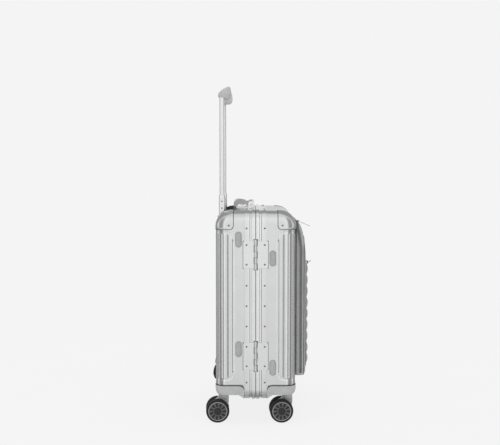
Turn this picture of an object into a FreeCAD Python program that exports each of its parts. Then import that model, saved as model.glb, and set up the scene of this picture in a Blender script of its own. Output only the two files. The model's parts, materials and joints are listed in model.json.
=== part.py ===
import FreeCAD, Part
import math
import os
import Sketcher
from FreeCAD import Placement, Rotation, Vector

# Hard shell cabin suitcase on four twin-wheel casters, in millimetres.
# +Z is up, X runs across the case (hinges on the -X side, latches on the +X side),
# the soft pocket is on the -Y side and the trolley handle on the +Y side.
# Most pieces are drawn with Y = 0 on the parting plane, where the two halves meet, and
# X = 0 in the middle of the case. They are then shifted by case_middle_x and
# parting_plane_y, which centre the whole object, handles and wheels included.

SIZES = {
    # the case
    "case_width": 380.0,
    "half_depth": 98.0,
    "case_bottom": 64.0,
    "case_top": 528.0,
    "corner_radius": 26.0,
    "edge_radius": 24.0,
    "shell_wall": 1.5,
    "shell_edge": 4.0,
    "parting_plane_y": 8.0,
    "case_middle_x": -7.0,
    # the two extruded frames
    "frame_gap": 0.6,
    "frame_sheet": 1.5,
    "bead_start": 2.5,
    "bead_width": 6.0,
    "bead_radius": 3.2,
    "bead_seat": 1.6,
    "groove_height": 0.6,
    "flange_start": 15.0,
    "flange_end": 27.5,
    "tongue_length": 24.0,
    "tongue_thickness": 1.2,
    # rivets
    "rivet_line": 22.2,
    "rivet_radius": 2.1,
    "rivet_height": 0.9,
    # hinges
    "hinge_axis_out": 4.6,
    "hinge_pin_radius": 2.0,
    "hinge_barrel_radius": 3.9,
    "hinge_barrel_length": 73.0,
    "hinge_leaf_height": 67.0,
    "hinge_leaf_reach": 30.5,
    "leaf_thickness": 1.6,
    "upper_hinge_z": 421.9,
    "lower_hinge_z": 172.3,
    "running_clearance": 0.06,
    # bumper pads on the hinge side
    "pad_width": 17.0,
    "pad_height": 39.0,
    "pad_end_radius": 8.0,
    "pad_thickness": 3.2,
    "pad_line": 42.0,
    # corner pieces
    "cap_bottom": 483.3,
    "cap_start": 55.0,
    "cap_reach": 52.0,
    "cap_thickness": 1.0,
    "housing_top": 98.0,
    "housing_start": 27.8,
    "housing_reach": 90.0,
    "housing_wall": 2.3,
    "housing_proud": 1.2,
    "housing_floor": 75.0,
    "floor_thickness": 3.0,
    "boss_radius": 15.0,
    "boss_top": 90.0,
    # casters
    "wheel_radius": 29.0,
    "wheel_width": 17.0,
    "rim_radius": 23.5,
    "axle_radius": 3.0,
    "fork_thickness": 13.0,
    "fork_top": 74.4,
    "neck_radius": 12.5,
    "neck_bottom": 59.0,
    "caster_x": 143.0,
    "caster_y": 79.5,
    "caster_trail": 15.5,
    "kingpin_radius": 4.0,
    "wheel_gap": 0.75,
    # bumper runners on the back
    "runner_x": 70.0,
    "runner_width": 36.0,
    "runner_bottom": 88.0,
    "runner_top": 127.0,
    "runner_radius": 25.0,
    # telescopic trolley
    "trolley_x": 95.0,
    "trolley_y": 84.5,
    "inner_tube_depth": 12.0,
    "inner_tube_width": 18.0,
    "mid_tube_depth": 15.5,
    "mid_tube_width": 21.5,
    "outer_tube_depth": 19.0,
    "outer_tube_width": 25.0,
    "tube_wall": 1.4,
    "outer_tube_bottom": 104.0,
    "mid_tube_bottom": 193.0,
    "mid_tube_top": 563.5,
    "inner_tube_bottom": 473.0,
    "inner_tube_top": 811.5,
    "tray_half_width": 112.0,
    "tray_front": 57.0,
    "tray_floor": 511.0,
    "tray_wall": 2.2,
    "tray_rim": 3.0,
    "grip_width": 210.0,
    "button_half_width": 12.0,
    "button_gap": 0.4,
    "rod_radius": 2.0,
    # carry handles
    "handle_pivot_y": 11.0,
    "handle_pivot_out": 12.0,
    "handle_half_width": 65.5,
    "handle_arm_width": 8.5,
    "bracket_width": 10.0,
    "bracket_gap": 0.5,
    "handle_pin_radius": 2.5,
    # latches
    "latch_height": 34.0,
    "latch_pivot_y": 21.0,
    "latch_pivot_out": 8.0,
    "latch_pin_radius": 1.5,
    "upper_latch_z": 430.0,
    "lower_latch_z": 167.0,
    # linings
    "lining_gap": 0.7,
    "lining_wall": 1.2,
    "lining_mouth": 6.0,
    "back_lining_depth": 72.0,
    "front_lining_depth": 95.0,
    # soft front pocket
    "pocket_half_width": 160.0,
    "pocket_bottom": 113.0,
    "pocket_top": 498.0,
    "pocket_front": 124.7,
    "pocket_clearance": 1.3,
    "pull_thickness": 1.8,
    "pull_width": 6.0,
}

HALVES = {"back": 1, "front": -1}
FRAME_RIVET_HEIGHTS = (486.2, 346.2, 296.1, 246.1, 107.6)
FRAME_RIVET_COLUMNS = (-150.0, -100.0, 100.0, 150.0)
CASTERS = {
    "back_left": (-1, 1, 3.0),
    "back_right": (1, 1, 176.0),
    "front_left": (-1, -1, 3.0),
    "front_right": (1, -1, 5.0),
}

doc = FreeCAD.newDocument("Suitcase")
sheet = doc.addObject("Spreadsheet::Sheet", "Dims")
nodes = []


class Size:
    """A number together with the spreadsheet formula that gives it."""

    def __init__(self, number, formula):
        self.number = number
        self.formula = formula

    def _join(self, other, sign, number):
        return Size(number, f"({self.formula} {sign} {other.formula})")

    def __add__(self, other):
        other = as_size(other)
        return self._join(other, "+", self.number + other.number)

    def __sub__(self, other):
        other = as_size(other)
        return self._join(other, "-", self.number - other.number)

    def __mul__(self, other):
        other = as_size(other)
        return self._join(other, "*", self.number * other.number)

    def __neg__(self):
        return Size(-self.number, f"(0 - {self.formula})")

    def __rsub__(self, other):
        return as_size(other) - self

    __radd__ = __add__
    __rmul__ = __mul__


def as_size(value):
    return value if isinstance(value, Size) else Size(float(value), f"({float(value)})")


def fill_sheet():
    """Writes every driving size to its own named cell and returns them by name."""
    for row, (alias, value) in enumerate(SIZES.items(), start=1):
        sheet.set(f"A{row}", alias)
        sheet.set(f"B{row}", str(value))
        sheet.setAlias(f"B{row}", alias)
    doc.recompute()
    return {alias: Size(sheet.get(alias), f"Dims.{alias}") for alias in SIZES}


D = fill_sheet()
HALF_WIDTH = D["case_width"] * 0.5
CASE_MIDDLE = (D["case_bottom"] + D["case_top"]) * 0.5
WHEEL_OFFSET = D["fork_thickness"] * 0.5 + D["wheel_gap"] + D["wheel_width"] * 0.5
FAR = as_size(260.0)


def bind(thing, name, value):
    """Ties one property to the sheet."""
    thing.setExpression(name, as_size(value).formula)


def place(thing, x=0, y=0, z=0, rotation=None):
    if rotation is not None:
        thing.Placement = Placement(Vector(), rotation)
    for axis, value in zip("xyz", (x, y, z)):
        bind(thing, f"Placement.Base.{axis}", value)


def node(name, thing, x=0, y=0, z=0, rotation=None):
    """Names a finished sub-part and sets where it stands in the whole object."""
    thing.Label = name
    place(thing, D["case_middle_x"] + x, D["parting_plane_y"] + y, z, rotation)
    nodes.append(thing)
    return thing


# ---------------------------------------------------------------- primitives

def box(name, x, y, z):
    """A box between the low and high values of x, y and z."""
    thing = doc.addObject("Part::Box", name)
    spans = [(as_size(low), as_size(high)) for low, high in (x, y, z)]
    spans = [(low, high) if low.number < high.number else (high, low) for low, high in spans]
    for side, (low, high) in zip(("Length", "Width", "Height"), spans):
        bind(thing, side, high - low)
    place(thing, *(low for low, high in spans))
    return thing


def cylinder(name, start, axis, radius, length):
    """A cylinder from start along the positive X, Y or Z axis."""
    thing = doc.addObject("Part::Cylinder", name)
    bind(thing, "Radius", radius)
    bind(thing, "Height", length)
    turns = {"X": Rotation(Vector(0, 1, 0), 90), "Y": Rotation(Vector(1, 0, 0), -90), "Z": Rotation()}
    place(thing, *start, rotation=turns[axis])
    return thing


def boolean(kind, name, base, tool):
    thing = doc.addObject(f"Part::{kind}", name)
    thing.Base = base
    thing.Tool = tool
    return thing


def fuse(name, things):
    thing = doc.addObject("Part::MultiFuse", name)
    thing.Shapes = things
    thing.Refine = True
    return thing


def group(name, things):
    """Separate solids that share one node."""
    thing = doc.addObject("Part::Compound", name)
    thing.Links = things
    return thing


# ------------------------------------------------------------ bodies and sketches

def new_body(name):
    return doc.addObject("PartDesign::Body", name)


def sketch(body, name, plane, offset=0):
    """A sketch on one of the body's own origin planes, moved along that plane's normal."""
    thing = body.newObject("Sketcher::SketchObject", name)
    origin_plane = next(f for f in body.Origin.OriginFeatures if f.Role == plane)
    thing.AttachmentSupport = [(origin_plane, "")]
    thing.MapMode = "FlatFace"
    bind(thing, "AttachmentOffset.Base.z", offset)
    return thing


def dimension(thing, kind, value, *where):
    """Adds one driving dimension and ties it to the sheet."""
    value = as_size(value)
    index = thing.addConstraint(Sketcher.Constraint(kind, *where, value.number))
    thing.setExpression(f"Constraints[{index}]", value.formula)


def pin_point(thing, edge, end, x, y):
    """Fixes one end of an edge at x, y from the sketch origin."""
    dimension(thing, "DistanceX", x, -1, 1, edge, end)
    dimension(thing, "DistanceY", y, -1, 1, edge, end)


def arc_between(start, end, radius, turn):
    """Circle arc from start to end, which turns left (1) or right (-1) by less than half a circle."""
    chord = end - start
    reach = math.sqrt(max(radius ** 2 - (chord.Length / 2) ** 2, 0.0))
    inward = Vector(-chord.y, chord.x, 0).normalize() * turn
    centre = (start + end) * 0.5 + inward * reach
    first, last = (start, end) if turn > 0 else (end, start)
    angles = [math.atan2(p.y - centre.y, p.x - centre.x) for p in (first, last)]
    if angles[1] <= angles[0]:
        angles[1] += 2 * math.pi
    return Part.ArcOfCircle(Part.Circle(centre, Vector(0, 0, 1), radius), *angles)


def outline(thing, points):
    """A closed outline; a point given as (x, y, radius, turn) starts an arc to the next one."""
    corners = [(as_size(p[0]), as_size(p[1])) for p in points]
    ends = [Vector(x.number, y.number, 0) for x, y in corners]
    edges = []
    for index, point in enumerate(points):
        start = ends[index]
        end = ends[(index + 1) % len(points)]
        if len(point) == 4:
            radius = as_size(point[2])
            edge = thing.addGeometry(arc_between(start, end, radius.number, point[3]), False)
            edges.append((edge, (1, 2) if point[3] > 0 else (2, 1), radius))
        else:
            edge = thing.addGeometry(Part.LineSegment(start, end), False)
            edges.append((edge, (1, 2), None))
    for index, (edge, sides, radius) in enumerate(edges):
        following = edges[(index + 1) % len(edges)]
        joint = Sketcher.Constraint("Coincident", edge, sides[1], following[0], following[1][0])
        thing.addConstraint(joint)
        pin_point(thing, edge, sides[0], *corners[index])
    for edge, sides, radius in edges:
        if radius is not None:
            dimension(thing, "Radius", radius, edge)


def rounded_rectangle(thing, x, y, radius):
    """A rectangle between the low and high values of x and y, with equal round corners."""
    (left, right), (low, high) = x, y
    outline(thing, [
        (left + radius, low), (right - radius, low, radius, 1),
        (right, low + radius), (right, high - radius, radius, 1),
        (right - radius, high), (left + radius, high, radius, 1),
        (left, high - radius), (left, low + radius, radius, 1),
    ])


def rectangle(thing, x, y):
    (left, right), (low, high) = x, y
    outline(thing, [(left, low), (right, low), (right, high), (left, high)])


def circle(thing, x, y, radius):
    x, y, radius = as_size(x), as_size(y), as_size(radius)
    edge = thing.addGeometry(Part.Circle(Vector(x.number, y.number, 0), Vector(0, 0, 1), radius.number), False)
    pin_point(thing, edge, 3, x, y)
    dimension(thing, "Radius", radius, edge)


def pad(body, profile, length, backwards=False, both_ways=False):
    thing = body.newObject("PartDesign::Pad", f"{profile.Name}Pad")
    thing.Profile = profile
    bind(thing, "Length", length)
    thing.Midplane = both_ways
    thing.Reversed = backwards
    doc.recompute()
    return thing


def pocket(body, profile, length, forwards=False, both_ways=False):
    """Cuts against the sketch's normal, or along it when forwards is set."""
    before = body.Shape.Volume
    thing = body.newObject("PartDesign::Pocket", f"{profile.Name}Pocket")
    thing.Profile = profile
    bind(thing, "Length", length)
    thing.Midplane = both_ways
    thing.Reversed = forwards
    doc.recompute()
    if not body.Shape.Volume < before - 1.0:
        raise RuntimeError(f"{thing.Name} of {body.Name} cut nothing")
    return thing


def edge_names(shape, test):
    return [f"Edge{i}" for i, edge in enumerate(shape.Edges, start=1) if test(edge)]


def fillet(body, base, radius, test):
    thing = body.newObject("PartDesign::Fillet", f"{base.Name}Round")
    thing.Base = (base, edge_names(base.Shape, test))
    bind(thing, "Radius", radius)
    doc.recompute()
    return thing


def hollow(body, base, wall, test):
    """Leaves a wall inside the solid and removes the one face that the test finds."""
    thing = body.newObject("PartDesign::Thickness", f"{base.Name}Wall")
    faces = [f"Face{i}" for i, face in enumerate(base.Shape.Faces, start=1) if test(face)]
    thing.Base = (base, faces)
    bind(thing, "Value", wall)
    thing.Reversed = True
    thing.Join = 1
    doc.recompute()
    return thing


def on_plane(axis, value):
    """A test for edges or faces that lie wholly on the plane where axis has this value."""
    def test(item):
        bounds = item.BoundBox
        low, high = getattr(bounds, f"{axis}Min"), getattr(bounds, f"{axis}Max")
        return abs(low - value) < 0.01 and abs(high - value) < 0.01
    return test


def along_x(edge):
    bounds = edge.BoundBox
    return bounds.YLength < 0.01 and bounds.ZLength < 0.01


# ---------------------------------------------------------------- the case

def case_block(name, side, grow, front=0):
    """Solid of one half of the case, from the plane front to the outer face, grown all round."""
    body = new_body(name)
    profile = sketch(body, f"{name}Outline", "XZ_Plane", as_size(front) * -side)
    rounded_rectangle(profile, (-HALF_WIDTH - grow, HALF_WIDTH + grow),
                      (D["case_bottom"] - grow, D["case_top"] + grow), D["corner_radius"] + grow)
    block = pad(body, profile, D["half_depth"] + grow - front, backwards=side > 0)
    outer_face = side * (D["half_depth"] + grow).number
    rounded = fillet(body, block, D["edge_radius"] + grow, on_plane("Y", outer_face))
    return body, rounded


def corner_regions(name, side, x, y, z):
    """The same box at both ends of the case, left and right."""
    return fuse(name, [box(f"{name}{hand}", (x[0] * sign, x[1] * sign), (y[0] * side, y[1] * side), z)
                       for hand, sign in (("Left", -1), ("Right", 1))])


def shell(name, side):
    body, block = case_block(f"{name}_shell_solid", side, as_size(0), D["shell_edge"])
    hollow(body, block, D["shell_wall"], on_plane("Y", side * D["shell_edge"].number))
    for sign in (-1, 1):
        corner = sketch(body, f"{name}HousingCut{'Left' if sign < 0 else 'Right'}", "XY_Plane")
        rectangle(corner, ((HALF_WIDTH - D["housing_reach"]) * sign, FAR * sign),
                  (D["housing_start"] * side, FAR * side))
        pocket(body, corner, D["housing_top"], forwards=True)
    if side > 0:
        recess = sketch(body, "TrayCut", "XY_Plane", D["tray_floor"] - D["tray_wall"])
        rectangle(recess, (-D["tray_half_width"], D["tray_half_width"]), (D["tray_front"], FAR))
        pocket(body, recess, D["case_top"] - D["tray_floor"] + D["tray_wall"] + 5, forwards=True)
    node(f"{name}_shell", body)


def frame_ring(body, points):
    """Sweeps a profile, given as (distance from the parting plane, height), round the case."""
    path = sketch(body, f"{body.Name}Path", "XZ_Plane")
    left, right = -HALF_WIDTH, HALF_WIDTH
    low, high, radius = D["case_bottom"], D["case_top"], D["corner_radius"]
    outline(path, [
        (left, CASE_MIDDLE), (left, low + radius, radius, 1),
        (left + radius, low), (right - radius, low, radius, 1),
        (right, low + radius), (right, high - radius, radius, 1),
        (right - radius, high), (left + radius, high, radius, 1),
        (left, high - radius),
    ])
    profile = sketch(body, f"{body.Name}Profile", "XY_Plane", CASE_MIDDLE)
    outline(profile, [(-HALF_WIDTH - height, along, *arc) for along, height, *arc in points])
    sweep = body.newObject("PartDesign::AdditivePipe", f"{body.Name}Sweep")
    sweep.Profile = profile
    sweep.Spine = (path, [f"Edge{i}" for i in range(1, 10)])
    doc.recompute()


def frame(name, side):
    """Extruded frame half: a round bead at the parting line, a groove and a riveted flange."""
    body = new_body(f"{name}_frame_bar")
    gap, sheet_height, seat = D["frame_gap"], D["frame_sheet"], D["bead_seat"]
    bead_end = D["bead_start"] + D["bead_width"]
    wall = -D["shell_wall"]
    section = [
        (gap, seat), (D["bead_start"], seat, D["bead_radius"], -side), (bead_end, seat),
        (bead_end, D["groove_height"]), (D["flange_start"], D["groove_height"]),
        (D["flange_start"], sheet_height), (D["flange_end"], sheet_height), (D["flange_end"], 0),
        (D["shell_edge"], 0), (D["shell_edge"], wall), (D["tongue_length"], wall),
        (D["tongue_length"], wall - D["tongue_thickness"]), (gap, wall - D["tongue_thickness"]),
    ]
    frame_ring(body, [(as_size(along) * side, as_size(height), *arc) for along, height, *arc in section])
    notch = sketch(body, f"{name}HingeNotch", "XZ_Plane")
    half_notch = D["hinge_barrel_length"] * 0.5 + 1.5
    for middle in (D["upper_hinge_z"], D["lower_hinge_z"]):
        rectangle(notch, (-HALF_WIDTH - 10, -HALF_WIDTH - 0.3), (middle - half_notch, middle + half_notch))
    pocket(body, notch, bead_end + 0.2, forwards=side < 0)
    node(f"{name}_frame", body)


def seal():
    """Rubber strip that the back frame holds in the parting line."""
    body = new_body("seal_strip")
    low, high = -D["shell_wall"] - 0.8, D["groove_height"] - 0.2
    gap = D["frame_gap"]
    frame_ring(body, [(gap, low), (gap, high), (gap * -0.5, high), (gap * -0.5, low)])
    node("frame_seal", body)


def rivets(name, side):
    """Rivet heads along the flange: both sides, the top and the bottom."""
    along = D["rivet_line"] * side
    lift = D["frame_sheet"]
    height, radius = D["rivet_height"], D["rivet_radius"]
    leaf = D["leaf_thickness"]
    heads = []
    for row, z in enumerate(FRAME_RIVET_HEIGHTS):
        left, right = (-HALF_WIDTH - lift - height, along, z), (HALF_WIDTH + lift, along, z)
        heads.append(cylinder(f"{name}RivetLeft{row}", left, "X", radius, height))
        heads.append(cylinder(f"{name}RivetRight{row}", right, "X", radius, height))
    hinge_places = [D[hinge] + offset for hinge in ("upper_hinge_z", "lower_hinge_z") for offset in (-24, 24)]
    for row, z in enumerate(hinge_places):
        on_leaf = (-HALF_WIDTH - lift - leaf - height, along, z)
        heads.append(cylinder(f"{name}RivetHinge{row}", on_leaf, "X", radius, height))
    for row, x in enumerate(FRAME_RIVET_COLUMNS):
        heads.append(cylinder(f"{name}RivetTop{row}", (x, along, D["case_top"] + lift), "Z", radius, height))
        heads.append(cylinder(f"{name}RivetBottom{row}", (x, along, D["case_bottom"] - lift - height),
                              "Z", radius, height))
    node(f"{name}_frame_rivets", group(f"{name}_rivet_group", heads))


def corner_caps(name, side):
    """Pressed metal caps over the two top corners of one half."""
    outer, _ = case_block(f"{name}CapOuter", side, D["cap_thickness"])
    inner, _ = case_block(f"{name}CapInner", side, as_size(0))
    sheet_metal = boolean("Cut", f"{name}CapSheet", outer, inner)
    regions = corner_regions(f"{name}CapRegion", side, (HALF_WIDTH - D["cap_reach"], FAR),
                             (D["cap_start"], FAR), (D["cap_bottom"], D["case_top"] + 10))
    node(f"{name}_top_corner_caps", boolean("Common", f"{name}_caps", sheet_metal, regions))


def wheel_housings(name, side):
    """Moulded bottom corners: outer skin, a raised floor over the caster and its kingpin boss."""
    outer, _ = case_block(f"{name}HousingOuter", side, D["housing_proud"])
    inner, _ = case_block(f"{name}HousingInner", side, -D["housing_wall"])
    edge_x, edge_y = HALF_WIDTH - D["housing_reach"], D["housing_start"]
    lip = D["floor_thickness"]
    below = as_size(50)
    region = corner_regions(f"{name}HousingRegion", side, (edge_x, FAR), (edge_y, FAR),
                            (below, D["housing_top"]))
    above_floor = corner_regions(f"{name}HousingRoom", side, (edge_x - 5, FAR), (edge_y - 5, FAR),
                                 (D["housing_floor"] + lip, D["housing_top"] + 5))
    well = corner_regions(f"{name}HousingWell", side, (edge_x + lip, FAR), (edge_y + lip, FAR),
                          (below, D["housing_floor"]))
    skin = boolean("Common", f"{name}HousingSkin", outer, region)
    room = boolean("Common", f"{name}HousingInside", inner, above_floor)
    dished = boolean("Cut", f"{name}HousingDished", skin, room)
    shell_part = boolean("Cut", f"{name}HousingShell", dished, well)
    bosses, bores = [], []
    for hand, sign in (("Left", -1), ("Right", 1)):
        centre = (D["caster_x"] * sign, D["caster_y"] * side)
        bosses.append(cylinder(f"{name}Boss{hand}", (*centre, D["housing_floor"] + 1), "Z", D["boss_radius"],
                               D["boss_top"] - D["housing_floor"] - 1))
        bores.append(cylinder(f"{name}Bore{hand}", (*centre, D["housing_floor"] - 5), "Z",
                              D["kingpin_radius"] + D["running_clearance"], 30))
    solid = fuse(f"{name}HousingSolid", [shell_part, *bosses])
    node(f"{name}_wheel_housings", boolean("Cut", f"{name}_housings", solid, fuse(f"{name}Bores", bores)))


# ---------------------------------------------------------------- hinges and pads

def hinge_leaves(name, side):
    """One leaf of each hinge: a plate on the flange and its share of the five knuckles."""
    out = D["hinge_axis_out"]
    knuckle = D["hinge_barrel_length"] * 0.2
    own = (0, 2, 4) if side > 0 else (1, 3)
    bore_radius = D["hinge_pin_radius"] + (0 if side > 0 else D["running_clearance"])
    leaves = []
    for place_name in ("upper", "lower"):
        middle = D[f"{place_name}_hinge_z"]
        bottom = middle - D["hinge_barrel_length"] * 0.5
        tag = f"{name}{place_name.title()}"
        plate_x = (-HALF_WIDTH - D["frame_sheet"] - D["leaf_thickness"], -HALF_WIDTH - D["frame_sheet"])
        half_height = D["hinge_leaf_height"] * 0.5
        plate = box(f"{tag}Plate", plate_x, (D["hinge_barrel_radius"] * side + 0.5 * side,
                                             D["hinge_leaf_reach"] * side),
                    (middle - half_height, middle + half_height))
        pieces = [plate]
        for index in own:
            low = bottom + knuckle * index
            start = (-HALF_WIDTH - out, 0, low + 0.15)
            pieces.append(cylinder(f"{tag}Knuckle{index}", start, "Z", D["hinge_barrel_radius"],
                                   knuckle - 0.3))
            pieces.append(box(f"{tag}Web{index}", plate_x, (2.6 * side, 5.0 * side),
                              (low + 0.15, low + knuckle - 0.15)))
        bore = cylinder(f"{tag}Bore", (-HALF_WIDTH - out, 0, bottom - 5), "Z", bore_radius,
                        D["hinge_barrel_length"] + 10)
        leaves.append(boolean("Cut", f"{tag}Leaf", fuse(f"{tag}Solid", pieces), bore))
    node(f"{name}_hinge_leaves", group(f"{name}_leaf_group", leaves))


def hinge_pins():
    pins = []
    for place_name in ("upper", "lower"):
        bottom = D[f"{place_name}_hinge_z"] - D["hinge_barrel_length"] * 0.5
        start = (-HALF_WIDTH - D["hinge_axis_out"], 0, bottom - 0.5)
        pins.append(cylinder(f"{place_name}HingePin", start, "Z", D["hinge_pin_radius"],
                             D["hinge_barrel_length"] + 1))
    node("hinge_pins", group("hinge_pin_group", pins))


def side_pads(name, side, heights):
    """Stadium-shaped bumper pads, on which the case also lies on its hinge side."""
    body = new_body(f"{name}_pads")
    profile = sketch(body, f"{name}PadOutline", "YZ_Plane", -HALF_WIDTH)
    middle, half, half_height = D["pad_line"] * side, D["pad_width"] * 0.5, D["pad_height"] * 0.5
    for height in heights:
        rounded_rectangle(profile, (middle - half, middle + half), (height - half_height, height + half_height),
                          D["pad_end_radius"])
    pads = pad(body, profile, D["pad_thickness"], backwards=True)
    outer_face = -(HALF_WIDTH + D["pad_thickness"]).number
    fillet(body, pads, 1.2, on_plane("X", outer_face))
    node(f"{name}_side_pads", body)


def back_runners():
    """Domed bumpers low on the back, which keep it off steps and kerbs."""
    runner = new_body("runner")
    profile = sketch(runner, "RunnerSide", "YZ_Plane", D["runner_x"] - D["runner_width"] * 0.5)
    outline(profile, [(D["half_depth"], D["runner_bottom"], D["runner_radius"], 1),
                      (D["half_depth"], D["runner_top"])])
    pad(runner, profile, D["runner_width"])
    other = doc.addObject("Part::Mirroring", "runner_mirror")
    other.Source = runner
    other.Normal = Vector(1, 0, 0)
    node("back_runners", group("runner_group", [runner, other]))


# ---------------------------------------------------------------- trolley handle

def tube_pair(name, depth, width, wall, z, node_name):
    """Two rounded rectangular tubes, one on each side of the case."""
    body = new_body(name)
    profile = sketch(body, f"{name}Section", "XY_Plane", z[0])
    for sign in (-1, 1):
        middle = D["trolley_x"] * sign
        for shrink, radius in ((as_size(0), as_size(3.0)), (wall, 3.0 - wall)):
            half_x, half_y = width * 0.5 - shrink, depth * 0.5 - shrink
            rounded_rectangle(profile, (middle - half_x, middle + half_x),
                              (D["trolley_y"] - half_y, D["trolley_y"] + half_y), radius)
    pad(body, profile, z[1] - z[0])
    node(node_name, body)


def tube_holes(name, grow, z):
    """Boxes the size of the outer tubes, to cut their seats."""
    half_x, half_y = D["outer_tube_width"] * 0.5 + grow, D["outer_tube_depth"] * 0.5 + grow
    return fuse(name, [box(f"{name}{hand}", (D["trolley_x"] * sign - half_x, D["trolley_x"] * sign + half_x),
                           (D["trolley_y"] - half_y, D["trolley_y"] + half_y), z)
                       for hand, sign in (("Left", -1), ("Right", 1))])


def trolley_tray():
    """Black tray that takes the grip when it is pushed down, with a raised rim on the top face."""
    half, wall, floor = D["tray_half_width"] - 0.2, D["tray_wall"], D["tray_floor"]
    front, top = D["tray_front"] + 0.2, D["case_top"]
    tray_floor = box("TrayFloor", (-half, half), (front, FAR), (floor - wall, floor))
    tray_front = box("TrayFront", (-half, half), (front, front + wall), (floor - wall, top + 2))
    sides = [box(f"TraySide{hand}", ((half - wall) * sign, half * sign), (front, FAR), (floor - wall, top + 2))
             for hand, sign in (("Left", -1), ("Right", 1))]
    cover, _ = case_block("TrayCover", 1, as_size(0.8))
    dish = boolean("Common", "TrayDish", fuse("TrayWalls", [tray_floor, tray_front, *sides]), cover)
    rim = box("TrayRim", (-half, half), (front - 3, front + wall), (top, top + D["tray_rim"]))
    solid = fuse("TraySolid", [dish, rim])
    holes = tube_holes("TrayHoles", -D["tube_wall"], (floor - 10, floor + 5))
    node("trolley_tray", boolean("Cut", "tray", solid, holes))


def trolley_foot():
    """Bracket that ties the lower ends of the outer tubes to the back shell."""
    half = D["trolley_x"] + 18
    bottom = D["outer_tube_bottom"]
    block = box("FootBlock", (-half, half), (D["trolley_y"] - 12, D["half_depth"] - D["shell_wall"] - 0.1),
                (D["housing_top"] + 0.4, bottom + 14))
    seats = tube_holes("FootSeats", 0.05, (bottom, bottom + 30))
    node("trolley_foot_bracket", boolean("Cut", "foot", block, seats))


def trolley_grip():
    """Wedge-shaped grip with sockets for the tubes and room for the release button."""
    body = new_body("grip")
    profile = sketch(body, "GripSide", "YZ_Plane")
    outline(profile, [(61.0, 820.0), (63.5, 809.5), (70.0, 805.3), (90.0, 807.5), (93.2, 814.0), (92.2, 818.2),
                      (69.0, 836.0), (65.0, 836.4)])
    bar = pad(body, profile, D["grip_width"], both_ways=True)
    fillet(body, bar, 2.2, along_x)
    sockets = sketch(body, "GripSockets", "XY_Plane", D["inner_tube_top"])
    for sign in (-1, 1):
        half_x, half_y = D["inner_tube_width"] * 0.5 + 0.05, D["inner_tube_depth"] * 0.5 + 0.05
        middle = D["trolley_x"] * sign
        rounded_rectangle(sockets, (middle - half_x, middle + half_x),
                          (D["trolley_y"] - half_y, D["trolley_y"] + half_y), as_size(3.0))
    pocket(body, sockets, 20)
    channel = sketch(body, "GripChannel", "XY_Plane", D["inner_tube_top"])
    half_length = D["trolley_x"] + 3
    rectangle(channel, (-half_length, half_length), (D["trolley_y"] - 2.5, D["trolley_y"] + 2.5))
    pocket(body, channel, 7.3, forwards=True)
    slot = sketch(body, "GripButtonSlot", "XY_Plane", D["inner_tube_top"])
    slot_half = D["button_half_width"] + D["button_gap"]
    rectangle(slot, (-slot_half, slot_half), (75.6, 86.4))
    pocket(body, slot, 40, forwards=True)
    node("trolley_grip", body)


def trolley_release():
    """Push button in the grip, and the yoke and rods inside the tubes that it drives."""
    button = new_body("button")
    profile = sketch(button, "ButtonSide", "YZ_Plane")
    outline(profile, [(76.0, 818.6), (86.0, 818.6), (86.0, 823.8), (76.0, 831.4)])
    pad(button, profile, D["button_half_width"] * 2, both_ways=True)
    node("trolley_button", button)
    y, top = D["trolley_y"], D["inner_tube_top"] + 6.9
    half = D["trolley_x"] + 2.2
    yoke = box("YokeBar", (-half, half), (y - 1.8, y + 1.8), (top - 3, top))
    foot = D["inner_tube_bottom"] + 15
    rods = [cylinder(f"Rod{hand}", (D["trolley_x"] * sign, y, foot), "Z", D["rod_radius"], top - foot - 1)
            for hand, sign in (("Left", -1), ("Right", 1))]
    node("trolley_release_yoke", fuse("yoke", [yoke, *rods]))


# ---------------------------------------------------------------- carry handles

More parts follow.
